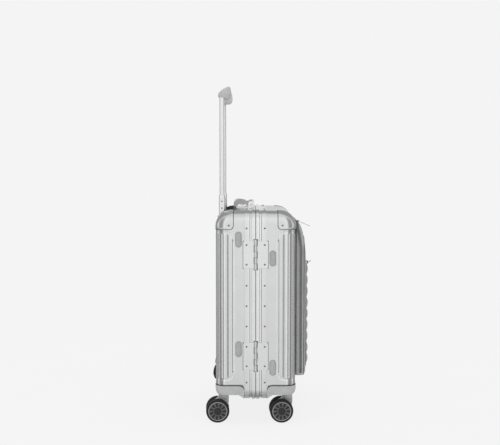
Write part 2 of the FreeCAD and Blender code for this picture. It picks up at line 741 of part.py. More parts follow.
def carry_handles():
    """The same folding handle on the top and on the latch side."""
    top, pivot_y = D["case_top"], D["handle_pivot_y"]
    pivot_z = top + D["handle_pivot_out"]
    grip = new_body("handle_bar")
    profile = sketch(grip, "HandleSide", "YZ_Plane")
    outline(profile, [(pivot_y, pivot_z - 6.0), (30.0, pivot_z - 1.8), (44.0, pivot_z + 0.5),
                      (46.5, pivot_z - 5.5), (53.0, pivot_z - 6.5), (55.5, pivot_z - 4.0),
                      (55.5, pivot_z + 4.0, 7.0, 1),
                      (49.0, pivot_z + 10.6), (40.0, pivot_z + 10.6), (25.0, pivot_z + 7.4),
                      (pivot_y, pivot_z + 6.0, 6.0, 1), (pivot_y - 6.0, pivot_z, 6.0, 1)])
    pad(grip, profile, D["handle_half_width"] * 2, both_ways=True)
    finger_gap = sketch(grip, "HandleGap", "XY_Plane", pivot_z - 20)
    inside = D["handle_half_width"] - D["handle_arm_width"]
    rectangle(finger_gap, (-inside, inside), (-10, 44.8))
    pocket(grip, finger_gap, 60, forwards=True)
    bore = sketch(grip, "HandleBore", "YZ_Plane")
    circle(bore, pivot_y, pivot_z, D["handle_pin_radius"] + D["running_clearance"])
    pocket(grip, bore, 200, both_ways=True)

    inner = D["handle_half_width"] + D["bracket_gap"]
    outer = inner + D["bracket_width"]
    brackets, pins = [], []
    for hand, start in (("Left", -outer), ("Right", inner)):
        bracket = new_body(f"bracket{hand}")
        side_view = sketch(bracket, f"Bracket{hand}Side", "YZ_Plane", start)
        outline(side_view, [(9.2, top + 1.6), (27.3, top + 1.6), (27.3, top + 3.6), (18.5, top + 4.4),
                            (18.5, top + 16.0), (15.0, top + 20.3), (6.0, top + 20.3), (3.4, top + 17.0),
                            (3.4, top + 4.2), (9.2, top + 4.2)])
        pad(bracket, side_view, D["bracket_width"])
        hole = sketch(bracket, f"Bracket{hand}Hole", "YZ_Plane", start - 1)
        circle(hole, pivot_y, pivot_z, D["handle_pin_radius"])
        pocket(bracket, hole, D["bracket_width"] + 2, forwards=True)
        brackets.append(bracket)
    pin_length = D["handle_arm_width"] + D["bracket_gap"] + D["bracket_width"]
    for hand, start in (("Left", -outer), ("Right", outer - pin_length)):
        pins.append(cylinder(f"HandlePin{hand}", (start, pivot_y, pivot_z), "X", D["handle_pin_radius"],
                             pin_length))

    on_side = {"x": HALF_WIDTH - D["case_top"], "z": CASE_MIDDLE, "rotation": Rotation(Vector(0, 1, 0), 90)}
    pin_sets = []
    for where, standing in (("top", {}), ("side", on_side)):
        node(f"{where}_handle_brackets", group(f"{where}_brackets", brackets), **standing)
        node(f"{where}_handle_grip", group(f"{where}_grip", [grip]), **standing)
        pin_sets.append(group(f"{where}_pins", pins))
        place(pin_sets[-1], **standing)
    return pin_sets


# ---------------------------------------------------------------- latches

def latches():
    """Two flap latches: base and pin on the back frame, lever over the line, striker on the lid."""
    out = HALF_WIDTH + D["latch_pivot_out"]
    pivot_y, half = D["latch_pivot_y"], D["latch_height"] * 0.5
    low_face = HALF_WIDTH + D["frame_sheet"] + 0.05
    bases, pins, strikers = [], [], []
    for place_name in ("upper", "lower"):
        middle = D[f"{place_name}_latch_z"]
        tag = place_name.title()
        plate = box(f"{tag}LatchPlate", (low_face, low_face + 2.2), (15.2, 27.0),
                    (middle - half - 6, middle + half + 6))
        lugs = [box(f"{tag}LatchLug{end}", (low_face + 1, out + 3), (pivot_y - 4, pivot_y + 4),
                    (middle + low, middle + high))
                for end, low, high in (("Low", -half - 5, -half - 0.5), ("High", half + 0.5, half + 5))]
        hole = cylinder(f"{tag}LatchHole", (out, pivot_y, middle - half - 20), "Z", D["latch_pin_radius"], 80)
        bases.append(boolean("Cut", f"{tag}LatchBase", fuse(f"{tag}LatchBlock", [plate, *lugs]), hole))
        pins.append(cylinder(f"{tag}LatchPin", (out, pivot_y, middle - half - 5), "Z", D["latch_pin_radius"],
                             D["latch_height"] + 10))
        lever = new_body(f"{tag}Lever")
        profile = sketch(lever, f"{tag}LeverTop", "XY_Plane", middle - half)
        outline(profile, [(out, pivot_y + 3.2), (out - 3.2, pivot_y), (out - 3.0, -12.0), (out - 3.0, -23.0),
                          (out + 0.4, -23.6), (out + 3.2, -12.0), (out + 3.2, pivot_y, 3.2, 1)])
        pad(lever, profile, D["latch_height"])
        bore = sketch(lever, f"{tag}LeverBore", "XY_Plane", middle - half - 1)
        circle(bore, out, pivot_y, D["latch_pin_radius"] + D["running_clearance"])
        pocket(lever, bore, D["latch_height"] + 2, forwards=True)
        node(f"{place_name}_latch_lever", lever)
        strikers.append(box(f"{tag}Striker", (low_face, low_face + 2.6), (-15.2, -27.0),
                            (middle - half, middle + half)))
    node("latch_bases", group("latch_base_group", bases))
    node("latch_strikers", group("latch_striker_group", strikers))
    return pins


# ---------------------------------------------------------------- inside

def lining(name, side, depth, edge_radius):
    """Fabric lining of one half, stepped round the wheel housings and the trolley tray."""
    body = new_body(f"{name}_lining_cloth")
    grow = -D["shell_wall"] - D["tongue_thickness"] - D["lining_gap"]
    profile = sketch(body, f"{name}LiningOutline", "XZ_Plane", D["lining_mouth"] * -side)
    rounded_rectangle(profile, (-HALF_WIDTH - grow, HALF_WIDTH + grow),
                      (D["case_bottom"] - grow, D["case_top"] + grow), D["corner_radius"] + grow)
    block = pad(body, profile, depth - D["lining_mouth"], backwards=side > 0)
    rounded = fillet(body, block, edge_radius, on_plane("Y", side * depth.number))
    for sign in (-1, 1):
        corner = sketch(body, f"{name}LiningCorner{'Left' if sign < 0 else 'Right'}", "XY_Plane")
        rectangle(corner, ((HALF_WIDTH - D["housing_reach"] - 3) * sign, FAR * sign),
                  ((D["housing_start"] - 1.5) * side, FAR * side))
        rounded = pocket(body, corner, D["housing_top"] + 2.0, forwards=True)
    if side > 0:
        notch = sketch(body, "LiningTrayNotch", "XY_Plane", D["tray_floor"] - 4)
        rectangle(notch, (-D["tray_half_width"] - 2, D["tray_half_width"] + 2), (D["tray_front"] - 5, FAR))
        rounded = pocket(body, notch, 40, forwards=True)
    hollow(body, rounded, D["lining_wall"], on_plane("Y", side * D["lining_mouth"].number))
    node(f"{name}_lining", body)


def packing_straps():
    """Two webbing straps across the open back half, each with a buckle at its middle."""
    reach = HALF_WIDTH - 6.0
    half_strap = 12.5
    straps, buckles = [], []
    for index, z in enumerate((CASE_MIDDLE - 90.0, CASE_MIDDLE + 90.0)):
        for hand, sign in (("Left", -1), ("Right", 1)):
            straps.append(box(f"Strap{index}{hand}", (20.2 * sign, reach * sign), (11.0, 12.4),
                              (z - half_strap, z + half_strap)))
        buckles.append(box(f"Buckle{index}", (-20, 20), (8.0, 14.0), (z - 16, z + 16)))
    node("packing_straps", group("strap_group", straps))
    node("strap_buckles", group("buckle_group", buckles))


def divider():
    """Zipped divider panel across the mouth of the lid."""
    inset = 5.5
    body = new_body("divider")
    profile = sketch(body, "DividerOutline", "XZ_Plane", 10.0)
    rounded_rectangle(profile, (-HALF_WIDTH + inset, HALF_WIDTH - inset),
                      (D["case_bottom"] + inset, D["case_top"] - inset), D["corner_radius"] - inset)
    pad(body, profile, 2.0)
    node("divider_panel", body)


# ---------------------------------------------------------------- soft pocket

def pocket_bag():
    """Padded pocket on the outside of the lid, with a smaller quilted pocket on its front."""
    back, front = -D["half_depth"] - D["pocket_clearance"], -D["pocket_front"]
    low, high = D["pocket_bottom"], D["pocket_top"]
    bag = new_body("bag")
    profile = sketch(bag, "BagSide", "YZ_Plane")
    outline(profile, [(back, low), (front + 12, low), (front, low + 12), (front, high - 30), (front + 20, high),
                      (back, high)])
    block = pad(bag, profile, D["pocket_half_width"] * 2, both_ways=True)
    side_faces = D["pocket_half_width"].number

    def side_edge(edge):
        bounds = edge.BoundBox
        on_side = abs(bounds.XLength) < 0.01 and abs(abs(bounds.XMax) - side_faces) < 0.01
        return on_side and bounds.YMin < front.number + 21 and bounds.YMax < back.number - 1
    fillet(bag, block, 8.0, side_edge)
    node("pocket_body", bag)

    quilt = new_body("quilt")
    side_view = sketch(quilt, "QuiltSide", "YZ_Plane")
    skin = front - 0.1
    outline(side_view, [(skin, 140.0), (skin - 6, 160.0, 800.0, -1), (skin - 5.4, 380.0), (skin - 3.5, 396.0),
                        (skin, 400.0)])
    pad(quilt, side_view, (D["pocket_half_width"] - 14) * 2, both_ways=True)
    node("pocket_front_panel", quilt)


def pocket_hardware():
    """Zips of the two pockets, their sliders and the pulls that hang on them."""
    side, low, high = D["pocket_half_width"], D["pocket_bottom"], D["pocket_top"]
    strips = [box(f"MainZip{hand}", ((side + 0.1) * sign, (side + 1.1) * sign), (-117, -111),
                  (low + 20, high - 30)) for hand, sign in (("Left", -1), ("Right", 1))]
    strips.append(box("MainZipTop", (-side + 10, side - 10), (-105.5, -99.5), (high + 0.1, high + 1.1)))
    strips.append(box("FrontZip", (-side + 18, side - 18), (-128.4, -124.9), (400.2, 403.2)))
    main_x, front_x = -120.0, -100.0
    main = box("MainSlider", (main_x - 4, main_x + 4), (-107, -100), (high + 1.2, high + 4.2))
    front = box("FrontSlider", (front_x - 4, front_x + 4), (-133.0, -130.2), (391.0, 399.0))
    node("pocket_zips", group("zip_group", [*strips, main, front]))
    for name, x, start, length, droop in (("main", main_x, (-108.1, 499.8), 30.0, 24.0),
                                          ("front", front_x, (-134.2, 395.0), 7.5, -30.0)):
        plate = box(f"{name}PullPlate", (-D["pull_width"] * 0.5, D["pull_width"] * 0.5), (-length, 0.0),
                    (-D["pull_thickness"] * 0.5, D["pull_thickness"] * 0.5))
        eye = cylinder(f"{name}PullEye", (-D["pull_width"] * 0.5, 0, 0), "X", D["pull_thickness"] * 0.5,
                       D["pull_width"])
        node(f"{name}_zip_pull", fuse(f"{name}_pull", [plate, eye]), x, start[0], start[1],
             Rotation(Vector(1, 0, 0), droop))


# ---------------------------------------------------------------- casters

def casters():
    """Four casters, each a fork on a kingpin with two wheels on one axle."""
    trail, radius = D["caster_trail"], D["wheel_radius"]
    tyre = new_body("tyre")
    ring = sketch(tyre, "TyreSection", "XZ_Plane")
    half, shoulder = D["wheel_width"] * 0.5, as_size(3.0)
    outline(ring, [(-half, D["rim_radius"]), (half, D["rim_radius"]), (half, radius - shoulder, shoulder, 1),
                   (half - shoulder, radius), (shoulder - half, radius, shoulder, 1), (-half, radius - shoulder)])
    hub = new_body("hub")
    disc = sketch(hub, "HubSection", "XZ_Plane")
    bore = D["axle_radius"] + D["running_clearance"]
    outline(disc, [(0.8 - half, bore), (half - 0.8, bore), (half - 0.8, D["rim_radius"]),
                   (0.8 - half, D["rim_radius"])])
    for body, section in ((tyre, ring), (hub, disc)):
        turned = body.newObject("PartDesign::Revolution", f"{body.Name}Turned")
        turned.Profile = section
        turned.ReferenceAxis = (section, ["H_Axis"])
        turned.Angle = 360.0

    fork = new_body("fork")
    plate = sketch(fork, "ForkSide", "YZ_Plane")
    neck = D["neck_radius"]
    outline(plate, [(-neck, D["fork_top"] - 8), (-neck, 47.0), (trail - 14, 22.0), (trail, 17.0),
                    (trail + 12, 24.0), (trail + 14, 40.0), (neck + 6, 58.0), (neck, D["fork_top"] - 8)])
    pad(fork, plate, D["fork_thickness"], both_ways=True)
    collar = sketch(fork, "ForkNeck", "XY_Plane", D["neck_bottom"])
    circle(collar, 0, 0, neck)
    pad(fork, collar, D["fork_top"] - D["neck_bottom"])
    swivel = sketch(fork, "ForkSwivelBore", "XY_Plane", D["fork_top"])
    circle(swivel, 0, 0, D["kingpin_radius"])
    pocket(fork, swivel, 14.0)
    axle_bore = sketch(fork, "ForkAxleBore", "YZ_Plane")
    circle(axle_bore, trail, radius, D["axle_radius"])
    pocket(fork, axle_bore, 100, both_ways=True)
    axle_reach = D["fork_thickness"] * 0.5 + D["wheel_gap"] + D["wheel_width"] - 2
    axle = cylinder("AxlePin", (-axle_reach, trail, radius), "X", D["axle_radius"], axle_reach * 2)
    kingpin = cylinder("KingPin", (0, 0, D["fork_top"] - 12), "Z", D["kingpin_radius"],
                       D["boss_top"] - D["fork_top"] + 10)

    for name, (sign, side, yaw) in CASTERS.items():
        x, y = D["caster_x"] * sign, D["caster_y"] * side
        turn = Rotation(Vector(0, 0, 1), yaw)
        node(f"{name}_caster_fork", group(f"{name}_fork", [fork]), x, y, 0, turn)
        node(f"{name}_caster_pins", group(f"{name}_pins", [axle, kingpin]), x, y, 0, turn)
        outwards = sign if abs(yaw) < 90 else -sign
        for hand, way in (("outer", outwards), ("inner", -outwards)):
            centre = turn.multVec(Vector((WHEEL_OFFSET * way).number, trail.number, 0))
            wheel = group(f"{name}_{hand}", [tyre, hub])
            node(f"{name}_{hand}_wheel", wheel, x + centre.x, y + centre.y, radius, turn)


# ---------------------------------------------------------------- whole suitcase

def build():
    for name, side in HALVES.items():
        shell(name, side)
        frame(name, side)
        rivets(name, side)
        corner_caps(name, side)
        wheel_housings(name, side)
        hinge_leaves(name, side)
    seal()
    hinge_pins()
    side_pads("back", 1, (458.8, 189.9))
    side_pads("front", -1, (412.6, 143.7))
    back_runners()
    mid_wall, top = D["tube_wall"], D["tray_floor"] - D["tray_wall"]
    tube_pair("outer_tubes", D["outer_tube_depth"], D["outer_tube_width"], mid_wall,
              (D["outer_tube_bottom"], top), "trolley_outer_tubes")
    tube_pair("mid_tubes", D["mid_tube_depth"], D["mid_tube_width"], mid_wall,
              (D["mid_tube_bottom"], D["mid_tube_top"]), "trolley_middle_tubes")
    tube_pair("inner_tubes", D["inner_tube_depth"], D["inner_tube_width"], mid_wall,
              (D["inner_tube_bottom"], D["inner_tube_top"]), "trolley_upper_tubes")
    trolley_tray()
    trolley_foot()
    trolley_grip()
    trolley_release()
    pivot_pins = carry_handles() + latches()
    node("handle_and_latch_pins", group("pivot_pin_group", pivot_pins))
    lining("back", 1, D["back_lining_depth"], as_size(12.0))
    lining("front", -1, D["front_lining_depth"], D["edge_radius"] - 3.0)
    packing_straps()
    divider()
    pocket_bag()
    pocket_hardware()
    casters()
    doc.recompute()


def check_and_export():
    for thing in doc.Objects:
        if "Invalid" in thing.State or "Error" in thing.State:
            raise RuntimeError(f"{thing.Name} failed: {thing.State}")
    for thing in nodes:
        if thing.Shape.isNull() or not thing.Shape.isValid() or not thing.Shape.Solids:
            raise RuntimeError(f"{thing.Label} has no valid solid")
    os.makedirs("parts", exist_ok=True)
    for thing in nodes:
        thing.Shape.exportStep(f"parts/{thing.Label}.step")
    whole = Part.makeCompound([thing.Shape for thing in nodes]).optimalBoundingBox()
    print(len(nodes), "nodes", [round(v, 2) for v in (whole.XMin, whole.XMax, whole.YMin, whole.YMax,
                                                       whole.ZMin, whole.ZMax)])


build()
check_and_export()
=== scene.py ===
from contextlib import contextmanager
import json
import math

import bmesh
import bpy
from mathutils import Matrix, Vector, noise


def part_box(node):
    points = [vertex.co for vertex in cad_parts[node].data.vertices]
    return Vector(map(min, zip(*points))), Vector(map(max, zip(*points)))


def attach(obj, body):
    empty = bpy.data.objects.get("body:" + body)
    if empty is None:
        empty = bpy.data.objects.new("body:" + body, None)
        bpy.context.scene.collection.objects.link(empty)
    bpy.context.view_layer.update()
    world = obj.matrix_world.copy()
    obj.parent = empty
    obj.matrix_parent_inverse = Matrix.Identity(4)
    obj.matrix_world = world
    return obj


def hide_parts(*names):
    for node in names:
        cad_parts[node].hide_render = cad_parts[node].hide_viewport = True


# The looks of a hard shell cabin suitcase: ribbed aluminium halves in riveted frames, a padded
# pocket on the lid, a telescopic trolley handle and four twin-wheel casters.
# Shapes are written in millimetres in the case's own frame: x from the middle of the case
# (hinges on the -x side), v from the parting plane towards the back, and z from the floor.

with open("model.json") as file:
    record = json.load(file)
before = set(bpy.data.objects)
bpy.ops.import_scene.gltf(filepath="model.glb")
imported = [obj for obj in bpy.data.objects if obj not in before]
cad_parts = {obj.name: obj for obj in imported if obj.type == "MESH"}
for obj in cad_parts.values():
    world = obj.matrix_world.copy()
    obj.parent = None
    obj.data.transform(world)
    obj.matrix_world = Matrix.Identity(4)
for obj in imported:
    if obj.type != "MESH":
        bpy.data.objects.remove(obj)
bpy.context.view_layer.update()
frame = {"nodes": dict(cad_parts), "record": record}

MM = 0.001


def low(node):
    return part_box(node)[0] / MM


def high(node):
    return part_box(node)[1] / MM


def middle(node):
    return (low(node) + high(node)) / 2


CASE_X = middle("back_shell").x
PARTING_Y = (low("back_frame").y + high("front_frame").y) / 2
HALF_WIDTH = high("back_shell").x - CASE_X
HALF_DEPTH = high("back_shell").y - PARTING_Y
CASE_BOTTOM = low("back_shell").z
CASE_TOP = high("back_shell").z
CASE_MIDDLE = (CASE_BOTTOM + CASE_TOP) / 2
HALVES = {"back": (1, "base"), "front": (-1, "lid")}
HANDS = (("left", -1), ("right", 1))


def to_row(x, v, z):
    """A point of the case's own frame, as Blender has it: the row frame, in metres."""
    return Vector((x + CASE_X, v + PARTING_Y, z)) * MM


def from_row(point):
    """A Blender point or a CAD corner in millimetres, in the case's own frame."""
    return Vector((point.x - CASE_X, point.y - PARTING_Y, point.z))


# ---------------------------------------------------------------- materials

def feed(tree, node, inputs):
    """Sets a node's inputs: another node's output is linked, anything else is written to the socket."""
    for key, value in inputs.items():
        if isinstance(value, bpy.types.NodeSocket):
            tree.links.new(value, node.inputs[key])
        else:
            node.inputs[key].default_value = value


def add(tree, kind, inputs=None):
    node = tree.nodes.new("ShaderNode" + kind)
    feed(tree, node, inputs or {})
    return node


ASKED = {}  # the name each material was made under; Blender numbers a name that is already taken


def node_material(name):
    material = bpy.data.materials.new(name)
    ASKED[material.name] = name
    material.use_nodes = True
    tree = material.node_tree
    tree.nodes.clear()
    shader = add(tree, "BsdfPrincipled")
    add(tree, "OutputMaterial", {"Surface": shader.outputs["BSDF"]})
    return material, tree, shader


def grain(tree, scale, detail=3.0):
    """Noise in object space; scale is the number of cells per metre along x, y and z."""
    place = add(tree, "TexCoord").outputs["Object"]
    cells = scale if hasattr(scale, "__len__") else (scale,) * 3
    mapping = add(tree, "Mapping", {"Scale": cells, "Vector": place})
    return add(tree, "TexNoise", {"Scale": 1.0, "Detail": detail, "Roughness": 0.55,
                                  "Vector": mapping.outputs["Vector"]}).outputs["Fac"]


def threads(tree, pitch, direction):
    """Fine parallel lines in object space, pitch metres apart."""
    wave = add(tree, "TexWave", {"Scale": 1.0 / (pitch * 20) * 2 * math.pi, "Distortion": 0.6, "Detail": 1.0,
                                 "Detail Scale": 2.0, "Vector": add(tree, "TexCoord").outputs["Object"]})
    wave.bands_direction = direction
    return wave.outputs["Fac"]


def stops(tree, factor, levels):
    """Colour ramp over (position, colour) levels."""
    node = add(tree, "ValToRGB", {"Fac": factor})
    elements = node.color_ramp.elements
    for index, (position, colour) in enumerate(levels):
        element = elements[index] if index < 2 else elements.new(position)
        element.position = position
        element.color = (*colour, 1)
    return node.outputs["Color"]


def ramp(tree, factor, start, end, start_at=0.3, end_at=0.7):
    """Colours from start to end as factor goes from start_at to end_at."""
    return stops(tree, factor, ((start_at, start), (end_at, end)))


def spread(tree, factor, lowest, highest):
    """factor, from 0.3 to 0.7, taken to the range lowest to highest."""
    return add(tree, "MapRange", {"From Min": 0.3, "From Max": 0.7, "To Min": lowest, "To Max": highest,
                                  "Value": factor}).outputs["Result"]


def mixed(tree, first, second, mode="MULTIPLY", amount=1.0):
    node = add(tree, "Mix")
    node.data_type, node.blend_type = "RGBA", mode
    feed(tree, node, {0: amount, 6: first, 7: second})
    return node.outputs[2]


def bump(tree, shader, height, strength, distance, before=None):
    node = add(tree, "Bump", {"Strength": strength, "Distance": distance, "Height": height})
    if before is not None:
        feed(tree, node, {"Normal": before})
    feed(tree, shader, {"Normal": node.outputs["Normal"]})
    return node.outputs["Normal"]


def shaded(colour, factor):
    return tuple(channel * factor for channel in colour)


def metal(name, colour, roughness, brushed=(1400, 1400, 14)):
    """Anodised or bare metal with brushing, handling marks and slightly uneven gloss."""
    material, tree, shader = node_material(name)
    brush = grain(tree, brushed, detail=4.0)
    handling = grain(tree, 26, detail=5.0)
    base = ramp(tree, handling, shaded(colour, 0.975), shaded(colour, 1.015))
    streaks = ramp(tree, brush, (0.97,) * 3, (1.0,) * 3)
    gloss = grain(tree, (90, 90, 40), detail=6.0)
    feed(tree, shader, {"Metallic": 1.0, "Base Color": mixed(tree, base, streaks),
                        "Roughness": spread(tree, gloss, roughness * 0.94, roughness * 1.07)})
    bump(tree, shader, brush, 0.05, 0.00004)
    return material


def moulded(name, colour, roughness, pebble=3200):
    """Moulded plastic or rubber with a fine spark-eroded grain and faint wear."""
    material, tree, shader = node_material(name)
    cloud = grain(tree, 55, detail=5.0)
    fine = grain(tree, pebble, detail=2.0)
    feed(tree, shader, {"Specular IOR Level": 0.45,
                        "Base Color": ramp(tree, cloud, shaded(colour, 0.9), shaded(colour, 1.08)),
                        "Roughness": spread(tree, fine, roughness * 0.88, roughness * 1.12)})
    bump(tree, shader, fine, 0.25, 0.00006)
    return material


def woven(name, colour, pitch, contrast=0.75, sheen=0.15):
    """Woven cloth: crossing threads, a mottled yarn and soft creases."""
    material, tree, shader = node_material(name)
    weave = mixed(tree, threads(tree, pitch, "X"), threads(tree, pitch, "Z"), "LIGHTEN")
    yarn = ramp(tree, grain(tree, (700, 700, 260)), shaded(colour, 0.85), shaded(colour, 1.15))
    tone = ramp(tree, weave, (contrast,) * 3, (1.0,) * 3, 0.1, 0.9)
    worn = ramp(tree, grain(tree, 14, detail=4.0), (0.9,) * 3, (1.0,) * 3)
    feed(tree, shader, {"Roughness": 0.88, "Specular IOR Level": 0.2, "Sheen Weight": sheen,
                        "Sheen Roughness": 0.5, "Base Color": mixed(tree, mixed(tree, yarn, tone), worn)})
    soft = bump(tree, shader, grain(tree, 90), 0.25, 0.0012)
    bump(tree, shader, weave, 0.6, 0.00018, soft)
    return material


SHELL_METAL = metal("shell_aluminium", (0.76, 0.765, 0.77), 0.24)
FRAME_METAL = metal("frame_aluminium", (0.8, 0.803, 0.807), 0.2)
CAP_METAL = metal("pressed_aluminium", (0.74, 0.745, 0.75), 0.28)
BRIGHT_METAL = metal("bright_aluminium", (0.83, 0.833, 0.837), 0.2, (900, 900, 30))
STEEL = metal("steel", (0.62, 0.62, 0.61), 0.24, (600, 600, 600))
# Dark steel of the lock pins and zip sliders; on the rivet centres this dark colour is painted shade of the
# rivets' hollow middles.
DARK_STEEL_AND_PAINTED_SHADE = metal("dark_steel_and_painted_shade", (0.2, 0.2, 0.2), 0.4, (600, 600, 600))
GREY_PLASTIC = moulded("grey_plastic", (0.5, 0.503, 0.507), 0.46)
BLACK_PLASTIC = moulded("black_plastic", (0.018, 0.018, 0.019), 0.42)
PAD_RUBBER = moulded("pad_rubber", (0.44, 0.445, 0.45), 0.6)
# Rubber of the parting seal; the same dark material also makes the painted shadow lines under caps, housings
# and hinge leaves.
SEAL_RUBBER_AND_PAINTED_SHADE = moulded("seal_rubber", (0.05, 0.05, 0.05), 0.7)
TYRE_RUBBER = moulded("tyre_rubber", (0.014, 0.014, 0.0145), 0.62, pebble=1800)
HUB_PLASTIC = moulded("hub_plastic", (0.09, 0.09, 0.092), 0.4)
HUB_RIM = moulded("hub_rim", (0.36, 0.36, 0.365), 0.36)
GREY_FABRIC = woven("grey_fabric", (0.5, 0.5, 0.505), 0.0011)
PIPING_FABRIC = woven("piping_fabric", (0.1, 0.1, 0.102), 0.0009)
ZIP_TAPE = woven("zip_tape", (0.27, 0.27, 0.275), 0.0006)
ZIP_TEETH = moulded("zip_teeth", (0.17, 0.17, 0.173), 0.35)
LINING_FABRIC = woven("lining_fabric", (0.16, 0.163, 0.17), 0.0009, sheen=0.3)
QUILT_FABRIC = woven("quilt_fabric", (0.46, 0.46, 0.465), 0.0011)
THREAD = woven("thread", (0.3, 0.3, 0.305), 0.0005)
GRIP_PLASTIC = moulded("grip_plastic", (0.52, 0.523, 0.527), 0.42)
FORK_PLASTIC = moulded("fork_plastic", (0.44, 0.445, 0.45), 0.4)
TRAY_PLASTIC = moulded("tray_plastic", (0.075, 0.075, 0.077), 0.5)
WEBBING = woven("webbing", (0.07, 0.07, 0.073), 0.0016, contrast=0.6)

# the record slot of every material that isn't named after its slot
MATERIAL_SLOTS = {
    "shell_aluminium": "aluminium_shell", "frame_aluminium": "aluminium_frame",
    "pressed_aluminium": "aluminium_frame", "dark_steel_and_painted_shade": "steel", "hub_plastic": "black_plastic",
    "tray_plastic": "black_plastic", "grip_plastic": "grey_plastic", "fork_plastic": "grey_plastic",
    "piping_fabric": "zip_tape", "webbing": "lining_fabric", "quilt_fabric": "grey_fabric"}


def slot_of(material):
    """The slot of the record that a material stands for."""
    name = ASKED[material.name]
    return MATERIAL_SLOTS.get(name, name)


CAD_MATERIALS = {slot_of(material): material for material in (
    SHELL_METAL, FRAME_METAL, BRIGHT_METAL, STEEL, GREY_PLASTIC, BLACK_PLASTIC, PAD_RUBBER, SEAL_RUBBER_AND_PAINTED_SHADE,
    TYRE_RUBBER, GREY_FABRIC, ZIP_TAPE, LINING_FABRIC)}


def finish_cad_nodes():
    """Gives every carried-over CAD node the procedural material of its record slot."""
    for entry in frame["record"]["subparts"]:
        slots = frame["nodes"][entry["node"]].data.materials
        slots.clear()
        slots.append(CAD_MATERIALS[entry["material_slot"]])


# ---------------------------------------------------------------- outlines and shapes
# A shape is (points, faces), the points in the case's own frame.

def arc(centre, radius, start, end, steps):
    """Points of an arc, angles in degrees."""
    angles = [math.radians(start + (end - start) * i / steps) for i in range(steps + 1)]
    return [(centre[0] + radius * math.cos(a), centre[1] + radius * math.sin(a)) for a in angles]


def rounded(half_a, half_b, radius, steps=6, centre=(0.0, 0.0)):
    """Outline of a rectangle with rounded corners, anticlockwise."""
    outline = []
    for turn, (sign_a, sign_b) in enumerate(((1, 1), (-1, 1), (-1, -1), (1, -1))):
        corner = (centre[0] + sign_a * (half_a - radius), centre[1] + sign_b * (half_b - radius))
        outline += arc(corner, radius, turn * 90, turn * 90 + 90, steps)
    return outline


def grid(rows, closed=False):
    """Quads between rows of points of equal length; closed joins each row's end to its start."""
    count = len(rows[0])
    faces = []
    for i in range(len(rows) - 1):
        for j in range(count if closed else count - 1):
            a, b = i * count + j, i * count + (j + 1) % count
            faces.append((a, b, b + count, a + count))
    return [p for row in rows for p in row], faces


def solid(rings):
    """Closed solid through rings of points, with a face over each end."""
    points, faces = grid(rings, closed=True)
    count = len(rings[0])
    faces.append(tuple(reversed(range(count))))
    faces.append(tuple(range(len(points) - count, len(points))))
    return points, faces


def prism(outline, start, end, place):
    """Solid between two copies of an outline; place turns (a, b, height) into a point."""
    return solid([[place(a, b, height) for a, b in outline] for height in (start, end)])


def lathe(profile, place, steps=24):
    """Solid of revolution of (radius, height) points; place turns (a, b, height) into a point."""
    rings = []
    for radius, height in profile:
        turn = [2 * math.pi * i / steps for i in range(steps)]
        rings.append([place(radius * math.cos(t), radius * math.sin(t), height) for t in turn])
    return solid(rings)


def torus(ring, place, steps=48):
    """Solid of revolution of a closed (radius, height) section that stays off the axis."""
    rows = []
    for i in range(steps + 1):
        t = 2 * math.pi * i / steps
        rows.append([place(radius * math.cos(t), radius * math.sin(t), height) for radius, height in ring])
    return grid(rows, closed=True)


def join(*shapes):
    points, faces = [], []
    for more_points, more_faces in shapes:
        faces += [tuple(i + len(points) for i in face) for face in more_faces]
        points += more_points
    return points, faces


def moved(shape, change):
    return [change(*p) for p in shape[0]], shape[1]


def turned_out(sign, shape):
    """The shape mirrored in v when sign is -1, with its faces still looking outwards."""
    if sign > 0:
        return shape
    return [(x, -v, z) for x, v, z in shape[0]], [tuple(reversed(face)) for face in shape[1]]


def along_x(x, v, z, sign=1):
    return lambda a, b, height: (x + sign * height, v + a, z + b)


def along_z(x, v, z, sign=1):
    return lambda a, b, height: (x + a, v + b, z + sign * height)


def across(v, z, x):
    """Places an outline drawn in (v, z), for prisms that run across the case."""
    return x, v, z


def block(x, v, z):
    """Box between pairs of bounds."""
    return prism([(x[0], v[0]), (x[1], v[0]), (x[1], v[1]), (x[0], v[1])], z[0], z[1], along_z(0, 0, 0))


def pipe(path, radius, steps=10, closed=False):
    """Round tube along a path of points."""
    path = [Vector(p) for p in path]
    count = len(path)
    rows = []
    side = None
    for i, point in enumerate(path):
        before = path[(i - 1) % count] if closed or i else point
        after = path[(i + 1) % count] if closed or i < count - 1 else point
        forward = (after - before).normalized()
        if side is None:
            side = forward.orthogonal().normalized()
        side = (side - forward * side.dot(forward)).normalized()
        up = forward.cross(side)
        rows.append([tuple(point + (side * math.cos(t) + up * math.sin(t)) * radius)
                     for t in (2 * math.pi * k / steps for k in range(steps))])
    if closed:
        return grid(rows + [rows[0]], closed=True)
    return solid(rows)


# ---------------------------------------------------------------- pieces

@contextmanager
def editing(thing):
    """The bmesh of an object, written back to it afterwards."""
    work = bmesh.new()
    work.from_mesh(thing.data)
    yield work
    work.to_mesh(thing.data)
    work.free()


def bare_object(name, shape, weld=0.0):
    """A mesh object from a shape, with nothing assigned."""
    mesh = bpy.data.meshes.new(name)
    mesh.from_pydata([to_row(*p) for p in shape[0]], [], shape[1])
    thing = bpy.data.objects.new(name, mesh)
    bpy.context.scene.collection.objects.link(thing)
    with editing(thing) as work:
        if weld:
            bmesh.ops.remove_doubles(work, verts=work.verts, dist=weld * MM)
    return thing


